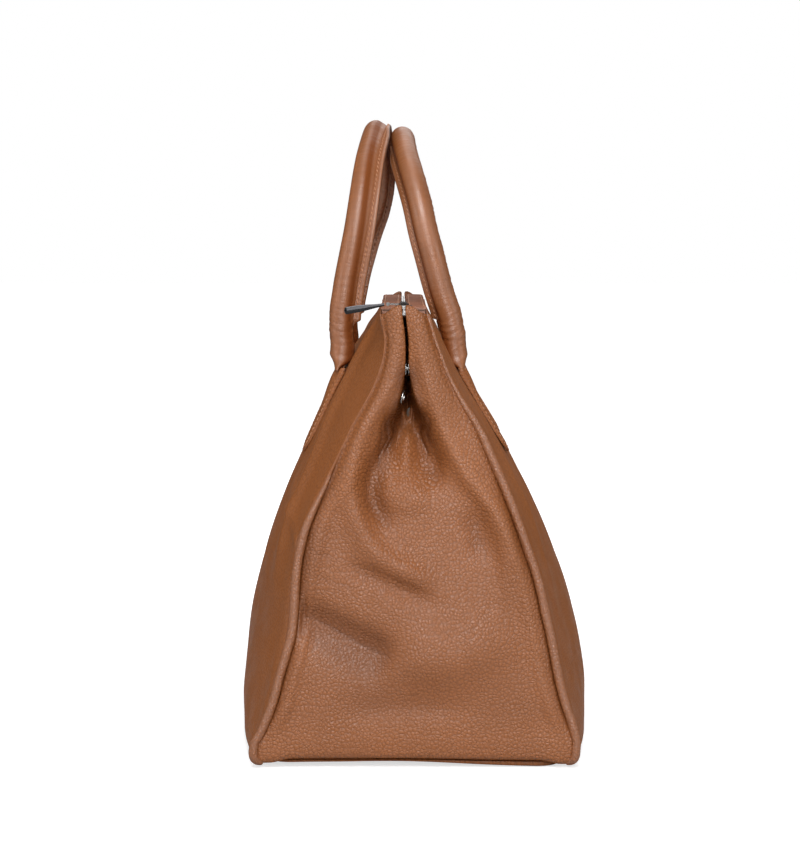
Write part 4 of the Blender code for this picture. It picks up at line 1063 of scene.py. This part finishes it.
def handle_outline(side, distance, length):
    """The cover's section: a tube with a flange whose faces run into it over a stitched groove."""
    share = flange_share(side, distance)
    reach = FLANGE_REACH * share
    reach *= 1 - 0.45 * eased((distance - 0.130) / 0.009)
    wrinkled = FOOT_WRINKLES * math.exp(-((distance - 0.024) / 0.010) ** 2)
    radius = TUBE_RADIUS * (0.985 + 0.012 * noise.noise(Vector((length * 55, 0.5, 0.5))))
    tip = TUBE_RADIUS + reach
    face = FLANGE_FACE * share
    top = [(tip - 0.0002, face * 0.55), (tip - 0.0007, face * 0.92), (tip - 0.0016 * share, face),
           (TUBE_RADIUS + 0.30 * reach, face * 0.86), (radius + 0.02 * reach, face * 0.80)]
    points = [(tip, 0.0)] + top
    for k in range(SECTION_STEPS + 1):
        angle = FIRST_ANGLE + (2 * math.pi - 2 * FIRST_ANGLE) * k / SECTION_STEPS
        # Cross wrinkles on the face turned away from the bag, and a shallow groove before the flange
        outer = eased((-math.sin(angle) - 0.1) / 0.6) * share
        ripple = CROSS_WRINKLES * outer * noise.noise(Vector((length * 690, angle * 1.7, 2.0 * side)))
        place = Vector((distance * 520 + 2 * math.sin(angle), angle * 0.9, 5.0 * side))
        ripple += wrinkled * noise.noise(place)
        groove = FLANGE_GROOVE * share * float(bell(min(angle, 2 * math.pi - angle) - GROOVE_ANGLE, 0.28))
        local = radius + ripple - groove
        points.append((local * math.cos(angle), local * math.sin(angle)))
    ruffle = CROSS_WRINKLES * share * noise.noise(Vector((length * 690, 3.0, 2.0 * side)))
    points += [(a, -b - ruffle * (b > face / 2)) for a, b in reversed(top)]
    return points


def make_handles():
    stations = handle_stations()
    for side_name, side in SIDES:
        rings, path = [], []
        for station in stations:
            _, distance, _, length = station
            outline = handle_outline(side, distance, length)
            rings.append(place_on_handle(side, station, handle_shape(side, distance, outline)))
            path.append([(length, math.atan2(b, a) * TUBE_RADIUS, 0.0) for a, b in outline])
        body = f"{side_name}_handle"
        data = loft(f"{body}_roll", rings, path)
        piece(data, body, [handle_leather, dark_edge], [f"{body}_cover"])
        # The flange's tip is dark
        sides = len(rings[0])
        for polygon in data.polygons:
            if {v % sides for v in polygon.vertices} <= {0, 1, sides - 1} and len(polygon.vertices) == 4:
                polygon.material_index = 1
        for face_name, face, surface in (("inner", 1, thread), ("outer", -1, dark_thread)):
            line, facing = [], []
            at = [(FLANGE_STITCHES, face * (FLANGE_STITCH_HEIGHT + above)) for above in (0.0, 0.001)]
            for station in stations:
                if flange_share(side, station[1]) > 0.6:
                    low, high = place_on_handle(side, station, handle_shape(side, station[1], at))
                    line.append(low)
                    facing.append(high - low)
            seam(f"{body}_{face_name}_seam", line, facing, body, slant=0.28, surface=surface)


def make_cores():
    """The cord inside each handle, which follows its cover's line."""
    for side_name, side in SIDES:
        stations = [station for station in handle_stations(40, 90) if station[1] > CORE_START]
        rings = [place_on_handle(side, station, circle(20, CORE_RADIUS)) for station in stations]
        body = f"{side_name}_handle"
        piece(loft(f"{body}_cord", rings), body, [cord_fibre], [f"{body}_core"])


def chape_upper(z):
    """The share by which a chape is at its full thickness, in its upper half."""
    return smooth_step(((z - HINGE_HEIGHT + CHAPE_LENGTH) / CHAPE_LENGTH - 0.5) / 0.5)


def make_chapes():
    """The handles' flattened leather ends, domed and stitched to the panels."""
    half_width = TONGUE_WIDTH / 2
    columns = np.linspace(-1, 1, 41)
    for end_name, end_side in ENDS:
        for side_name, side in SIDES:
            name = f"{side_name}_{end_name}_chape"
            centre = end_side * HANDLE_HALF_SPACING
            grid = []
            for row in np.linspace(0, 1, 46):
                height = CHAPE_LENGTH * (1 - math.cos(row * math.pi / 2))
                rounding = min(height / half_width, 1.0)
                width = half_width * math.sqrt(max(1 - (1 - rounding) ** 2, 0.0))
                z = HINGE_HEIGHT - CHAPE_LENGTH + height
                x = centre + columns * width
                to_edge = np.minimum((1 - np.abs(columns)) * width, height * 1.2)
                dome = smooth_step(to_edge / 0.0012) ** 0.5
                groove = 0.0004 * bell(to_edge - CHAPE_SEAM_INSET, 0.0007)
                upper = chape_upper(z)
                thick = CHAPE_LOWER_THICKNESS + (CHAPE_THICKNESS - CHAPE_LOWER_THICKNESS) * upper
                crown = (0.0006 + 0.0010 * upper) * smooth_step((to_edge - 0.003) / 0.004)
                proud = GAP + thick * dome - groove + crown
                grid.append(np.stack((x, chape_y(side, x, z, proud), np.full_like(x, z)), -1))
            # A rolled upper edge
            for turn in np.linspace(0, math.pi, 9)[1:]:
                z = HINGE_HEIGHT + 0.5 * CHAPE_THICKNESS * math.sin(turn)
                y = chape_y(side, x, HINGE_HEIGHT, GAP + (proud - GAP) * (0.5 + 0.5 * math.cos(turn)))
                grid.append(np.stack((x, y, np.full_like(x, z)), -1))
            grid = outward(np.array(grid), np.array((0, side, 0)))
            surfaces = [panel_leather, dark_edge]
            sheet_piece(f"{name}_leather", grid, surfaces, name, CHAPE_LEATHER)
            reach = half_width - CHAPE_SEAM_INSET
            line = [(centre + reach, HINGE_HEIGHT - 0.004 - 0.03 * t) for t in np.linspace(0, 1, 12)]
            turn_z = HINGE_HEIGHT - CHAPE_LENGTH + half_width
            turns = np.linspace(0, math.pi, 24)
            line += [(centre + reach * math.cos(a), turn_z - reach * math.sin(a)) for a in turns]
            line += [(centre - reach, z) for _, z in reversed(line[:12])]
            points = []
            for x, z in line:
                proud = GAP + 0.0015 + (CHAPE_THICKNESS - 0.0022) * float(chape_upper(z))
                points.append((x, float(chape_y(side, x, z, proud)), z))
            seam(f"{name}_seam", points, (0.0, side, 0.35), "bag", radius=0.0004)


# Zip, snaps and puller

# How far the facings' inner edges stand from the zip's middle, and over which length their ends turn down
FACING_INNER = 0.0014
FACING_END = 0.004
FACING_SECTION = (
    (-1.0, 0.15), (-0.98, 0.0), (0.98, 0.0), (1.0, 0.15), (1.0, 0.40), (0.97, 0.78), (0.88, 1.00),
    (0.70, 1.04), (0.5, 1.12), (0.0, 1.18), (-0.5, 1.12), (-0.70, 1.04), (-0.88, 1.00), (-0.97, 0.78),
    (-1.0, 0.40),
)
FACING_CROWN = 1.15
FACING_SEAM_CROWN = 1.17
TAB_DROP = 0.0042
TAB_HALF_THICKNESS = 0.0005
TOOTH_PITCH = 0.0021
TOOTH_SIZE = (0.0011, 0.0012, 0.0014)
TOOTH_OUT = 0.00045
TOOTH_RISE = 0.0003
SNAP_RADIUS = 0.00425
OPEN_SOCKET_SINK = 0.0020
# Snaps as (radius, height): the rolled rim, and the middle of each kind
SNAP_RIM = (
    (0.0001, 0.0), (SNAP_RADIUS - 0.0003, 0.0), (SNAP_RADIUS, 0.00025), (SNAP_RADIUS, 0.0005),
    (SNAP_RADIUS - 0.0003, 0.00072), (SNAP_RADIUS - 0.0009, 0.00066), (SNAP_RADIUS - 0.0013, 0.0003),
)
SNAP_MIDDLES = {
    "stud": (
        (0.0021, 0.0003), (0.0017, 0.0005), (0.0014, 0.0010), (0.0015, 0.0014), (0.0012, 0.0017),
        (0.0001, 0.00172),
    ),
    "socket": ((0.0024, 0.0003), (0.0022, 0.0006), (0.0020, 0.00062), (0.0019, 0.0003), (0.0001, 0.00012)),
}
PULLER_PIVOT = Vector((0.1435, -0.0145, 0.2473))
PULLER_DROOP = math.radians(9)
PULLER_LENGTH = 0.0238
PULLER_ROOT = 0.0019
# The bar's section, as shares of half its width and half its thickness, with a groove along its upper face
PULLER_SECTION = (
    (-1.0, -0.6), (-0.85, -1.0), (-0.3, -1.0), (0.3, -1.0), (0.85, -1.0), (1.0, -0.6), (1.0, 0.6),
    (0.85, 1.0), (0.36, 1.0), (0.22, 0.72), (-0.22, 0.72), (-0.36, 1.0), (-0.85, 1.0), (-1.0, 0.6),
)


def make_zip():
    for side_name, side in SIDES:
        body = f"{side_name}_zip_half"
        low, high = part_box(f"{side_name}_zip_facing")
        along = np.linspace(low.x, high.x, 160)
        outer = max(abs(low.y - MOUTH_Y), abs(high.y - MOUTH_Y))
        half, middle = (outer - FACING_INNER) / 2, MOUTH_Y + side * (outer + FACING_INNER) / 2
        rise = high.z - low.z
        rings = []
        for x in along:
            sway = 0.0002 * math.sin(x * 61 + side) + 0.00015 * math.sin(x * 153)
            lift = 0.00012 * math.sin(x * 97 + 2 * side)
            # The strip's ends are turned down into the mouth and stitched
            to_end = min((high.x - abs(x)) / FACING_END, 1.0)
            drop = math.sqrt(max(1 - (to_end - 1) ** 2, 0.0))
            wide, full = half * (0.93 + 0.07 * drop), rise * FACING_CROWN * (0.72 + 0.28 * drop)
            rings.append([
                (x, middle + wide * a + sway * (b > 0.5), low.z + full * b + lift * (b > 0.5))
                for a, b in FACING_SECTION
            ])
        data = loft(f"{side_name}_zip_facing_leather", rings)
        piece(data, body, [facing_leather], [f"{side_name}_zip_facing"])
        for end_name, x in (("near", high.x - 0.0006), ("far", low.x + 0.0006)):
            rings = []
            for t in np.linspace(0, 1, 8):
                width = half * (0.86 - 0.06 * t)
                z = low.z + rise * 0.5 - t * TAB_DROP
                rings.append([(x + TAB_HALF_THICKNESS * a, middle + width * b, z)
                              for a, b in ((1, 1), (1, -1), (-1, -1), (-1, 1))])
            data = loft(f"{side_name}_{end_name}_facing_tab", rings)
            piece(data, body, [facing_leather])
        for edge_name, share in (("inner", -0.70), ("outer", 0.70)):
            line = [(x, middle + half * side * share, low.z + rise * FACING_SEAM_CROWN) for x in along[4:-4]]
            name = f"{side_name}_zip_{edge_name}_seam"
            seam(name, line, (0.0, 0.0, 1.0), body, pitch=0.0026, length=0.002, radius=0.0003)
        low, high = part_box(f"{side_name}_zip_tape")
        tape = ((low.y, low.z), (high.y, low.z), (high.y, high.z), (low.y, high.z))
        rings = [[(x, y, z) for y, z in tape] for x in along]
        data = loft(f"{side_name}_zip_tape_cloth", rings)
        piece(data, body, [tape_cloth], [f"{side_name}_zip_tape"])
        make_teeth(side_name, side, body)
    for name in ("near_zip_end", "far_zip_end"):
        low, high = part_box(name)
        shape = box_shape(high - low, 0.0003, 3, middle=(high + low) / 2)
        data = bpy.data.meshes.new(f"{name}_cloth")
        shape.to_mesh(data)
        shape.free()
        piece(keep_edges(data, 40), "bag", [tape_cloth], [name])


def box_shape(size, rounding, segments, middle=(0.0, 0.0, 0.0), taper=None):
    """A box with rounded edges. With a taper, its half on that side of Y is narrower and lower."""
    shape = bmesh.new()
    bmesh.ops.create_cube(shape, size=1.0)
    bmesh.ops.scale(shape, vec=size, verts=shape.verts)
    bmesh.ops.translate(shape, vec=middle, verts=shape.verts)
    for vert in shape.verts:
        if taper and vert.co.y * taper > 0:
            vert.co.x *= 0.72
            vert.co.z *= 0.8
    bmesh.ops.bevel(shape, geom=shape.edges, offset=rounding, segments=segments, profile=0.5, affect="EDGES")
    return shape


def make_teeth(side_name, side, body):
    """Metal teeth clamped on the tape's edge, half a pitch out of step with the other side's."""
    low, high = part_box(f"{side_name}_zip_chain")
    tooth = box_shape(TOOTH_SIZE, 0.00018, 2, taper=-side)
    corners = np.array([v.co for v in tooth.verts])
    tooth_faces = [[v.index for v in f.verts] for f in tooth.faces]
    tooth.free()
    first = low.x + TOOTH_PITCH * (0.5 if side > 0 else 1.0)
    place = np.array((first, MOUTH_Y + side * TOOTH_OUT, (low.z + high.z) / 2 + TOOTH_RISE))
    verts, faces = [], []
    for k in range(int((high.x - first) / TOOTH_PITCH)):
        faces += [[len(verts) + v for v in f] for f in tooth_faces]
        verts += (corners + place + np.array((k * TOOTH_PITCH, 0.0, 0.0))).tolist()
    data = keep_edges(plain_mesh(f"{side_name}_zip_teeth", verts, faces), 40)
    piece(data, body, [chain_nickel], [f"{side_name}_zip_chain"])


def keep_node(name, surface, bevel=0.0):
    """A solid whose shape is right keeps its mesh, with a finished surface and softened edges."""
    obj = nodes[name]
    obj.data.materials.clear()
    obj.data.materials.append(surface)
    if bevel:
        soft = obj.modifiers.new("Edges", "BEVEL")
        soft.width = bevel
        soft.segments = 3
        soft.limit_method = "ANGLE"
        soft.angle_limit = math.radians(35)
        soft.harden_normals = True


def turned_mesh(name, profile, centre, axis):
    """Turns (radius, height) points about an axis through centre."""
    turn = Vector((0, 0, 1)).rotation_difference(Vector(axis)).to_matrix()
    centre = Vector(centre)
    rings = [[turn @ Vector((*p, height)) + centre for p in circle(48, radius)] for radius, height in profile]
    return loft(name, rings)


def make_snaps():
    """Pressed metal snaps: a rolled rim round a dished middle with its hole or stud."""
    for end_name, _ in ENDS:
        for name in ("upper_snap_socket", "upper_snap_stud", "lower_snap_stud", "lower_snap_socket"):
            node = nodes[f"{end_name}_{name}"]
            points = np.array([v.co for v in node.data.vertices])
            middle = points.mean(0)
            # The disc's axis, toward the fold's middle
            axis = np.linalg.svd(points - middle)[2][2]
            toward = 1.0 if name in ("upper_snap_socket", "lower_snap_stud") else -1.0
            if axis[1] * toward < 0:
                axis = -axis
            open_socket = name == "lower_snap_socket"
            sink = OPEN_SOCKET_SINK if open_socket else 0.0
            base = middle + axis * (((points - middle) @ axis).min() - sink)
            profile = SNAP_RIM + SNAP_MIDDLES[name.split("_")[-1]]
            data = turned_mesh(f"{end_name}_{name}_cap", profile, base, axis)
            # The open socket takes the darker nickel as painted shade
            piece(data, "bag", [shaded_nickel if open_socket else nickel], [node.name])


def make_puller():
    """A tapered bar on the link's pin, which droops a little toward its tip."""
    back, down = math.cos(PULLER_DROOP), math.sin(PULLER_DROOP)
    rings = []
    for t in np.linspace(0, 1, 40):
        y = -(PULLER_ROOT + (PULLER_LENGTH - PULLER_ROOT) * t)
        end = math.sqrt(max(1 - max((t - 0.955) / 0.045, 0.0) ** 2, 0.04))
        width = (0.0030 + 0.0016 * smooth_step((t - 0.05) / 0.6)) / 2 * end
        thick = (0.0016 + 0.0022 * smooth_step(t / 0.7)) / 2 * end
        rings.append([
            PULLER_PIVOT + Vector((width * a, y * back - thick * b * down, y * down + thick * b * back))
            for a, b in PULLER_SECTION
        ])
    piece(loft("puller_bar", rings), "puller", [dark_chrome], ["zip_puller"])


# Floor, light and camera

SQUARE = ((-1, -1), (1, -1), (1, 1), (-1, 1))
FLOOR_REACH = 12
FLOOR_HEIGHT = -0.0002
FLOOR_GLOW = 0.66
WORLD_LEVEL = 0.15
GLOSSY_LEVEL = 0.22
LIGHT_TARGET = Vector((0.05, 0, 0.14))
LIGHTS = (
    ("key", (1.50, -0.08, 1.60), (1.1, 0.9), 27.5),
    ("front", (1.90, 0.03, 0.62), (0.7, 0.9), 10.0),
    ("left", (1.0, -1.7, 0.8), (0.9, 0.9), 6.0),
    ("right", (1.0, 1.7, 0.8), (0.9, 0.9), 6.0),
    ("top", (-0.3, 0.0, 1.8), (0.9, 0.9), 5.0),
    ("behind", (-1.5, 0.4, 1.5), (1.4, 1.4), 14.0),
)
SENSOR_WIDTH = 36.0


def make_floor():
    """White, with the object's shadow near it. Further away it runs into the white backdrop."""
    data = bpy.data.meshes.new("floor")
    corners = [(FLOOR_REACH * x, FLOOR_REACH * y, FLOOR_HEIGHT) for x, y in SQUARE]
    data.from_pydata(corners, [], [(0, 1, 2, 3)])
    floor = bpy.data.objects.new("floor", data)
    bpy.context.scene.collection.objects.link(floor)
    made, shader, n = shader_of("floor_white", (0.62, 0.62, 0.62), 0.9)
    shader.inputs["Specular IOR Level"].default_value = 0.0
    away = n.add("ShaderNodeVectorMath", {0: n.place}, operation="LENGTH").outputs["Value"]
    seen = n.add("ShaderNodeLightPath").outputs["Is Camera Ray"]
    level = n.times(seen, n.span(away, 0.25, 0.7, FLOOR_GLOW, 1.0, "LINEAR"))
    glow = n.add("ShaderNodeEmission", {"Color": (1.0, 1.0, 1.0, 1.0), "Strength": level}).outputs[0]
    both = n.add("ShaderNodeAddShader", {0: shader.outputs[0], 1: glow}).outputs[0]
    n.link(both, n.tree.nodes["Material Output"].inputs["Surface"])
    data.materials.append(made)


def make_world():
    """White to the camera and through glass, and dimmer as a light and in reflections."""
    world = bpy.data.worlds.new("studio")
    bpy.context.scene.world = world
    world.use_nodes = True
    n = Nodes(world)
    rays = n.add("ShaderNodeLightPath").outputs
    seen = n.math("MAXIMUM", rays["Is Camera Ray"], rays["Is Transmission Ray"])
    level = n.span(seen, 0.0, 1.0, WORLD_LEVEL, 1.0, "LINEAR")
    background = n.tree.nodes["Background"].inputs
    n.link(n.math("MAXIMUM", level, n.times(rays["Is Glossy Ray"], GLOSSY_LEVEL)), background["Strength"])
    background["Color"].default_value = (1, 1, 1, 1)


def make_lights():
    for name, place, size, power in LIGHTS:
        data = bpy.data.lights.new(name, "AREA")
        data.shape = "RECTANGLE"
        data.size, data.size_y = size
        data.energy = power
        lamp = bpy.data.objects.new(name, data)
        bpy.context.scene.collection.objects.link(lamp)
        lamp.location = place
        lamp.rotation_euler = (LIGHT_TARGET - Vector(place)).to_track_quat("-Z", "Y").to_euler()


def make_camera():
    data = bpy.data.cameras.new("camera")
    data.sensor_width = SENSOR_WIDTH
    data.lens = SENSOR_WIDTH * FOCAL_PIXELS / max(IMAGE_WIDTH, IMAGE_HEIGHT)
    data.clip_start = 0.05
    camera = bpy.data.objects.new("camera", data)
    bpy.context.scene.collection.objects.link(camera)
    camera.location = CAMERA
    camera.rotation_euler = (math.pi / 2 - CAMERA_PITCH, 0, math.pi / 2)
    bpy.context.scene.camera = camera


def main():
    bpy.context.scene.view_settings.view_transform = "Standard"
    for make in (make_camera, make_floor, make_world, make_lights, make_body, make_piping, make_base,
                 make_handles, make_cores, make_chapes, make_zip, make_snaps, make_puller):
        make()
    keep_node("base_board", board_fibre)
    keep_node("zip_slider", bright_nickel, 0.00025)
    keep_node("puller_link", link_nickel, 0.00012)


main()
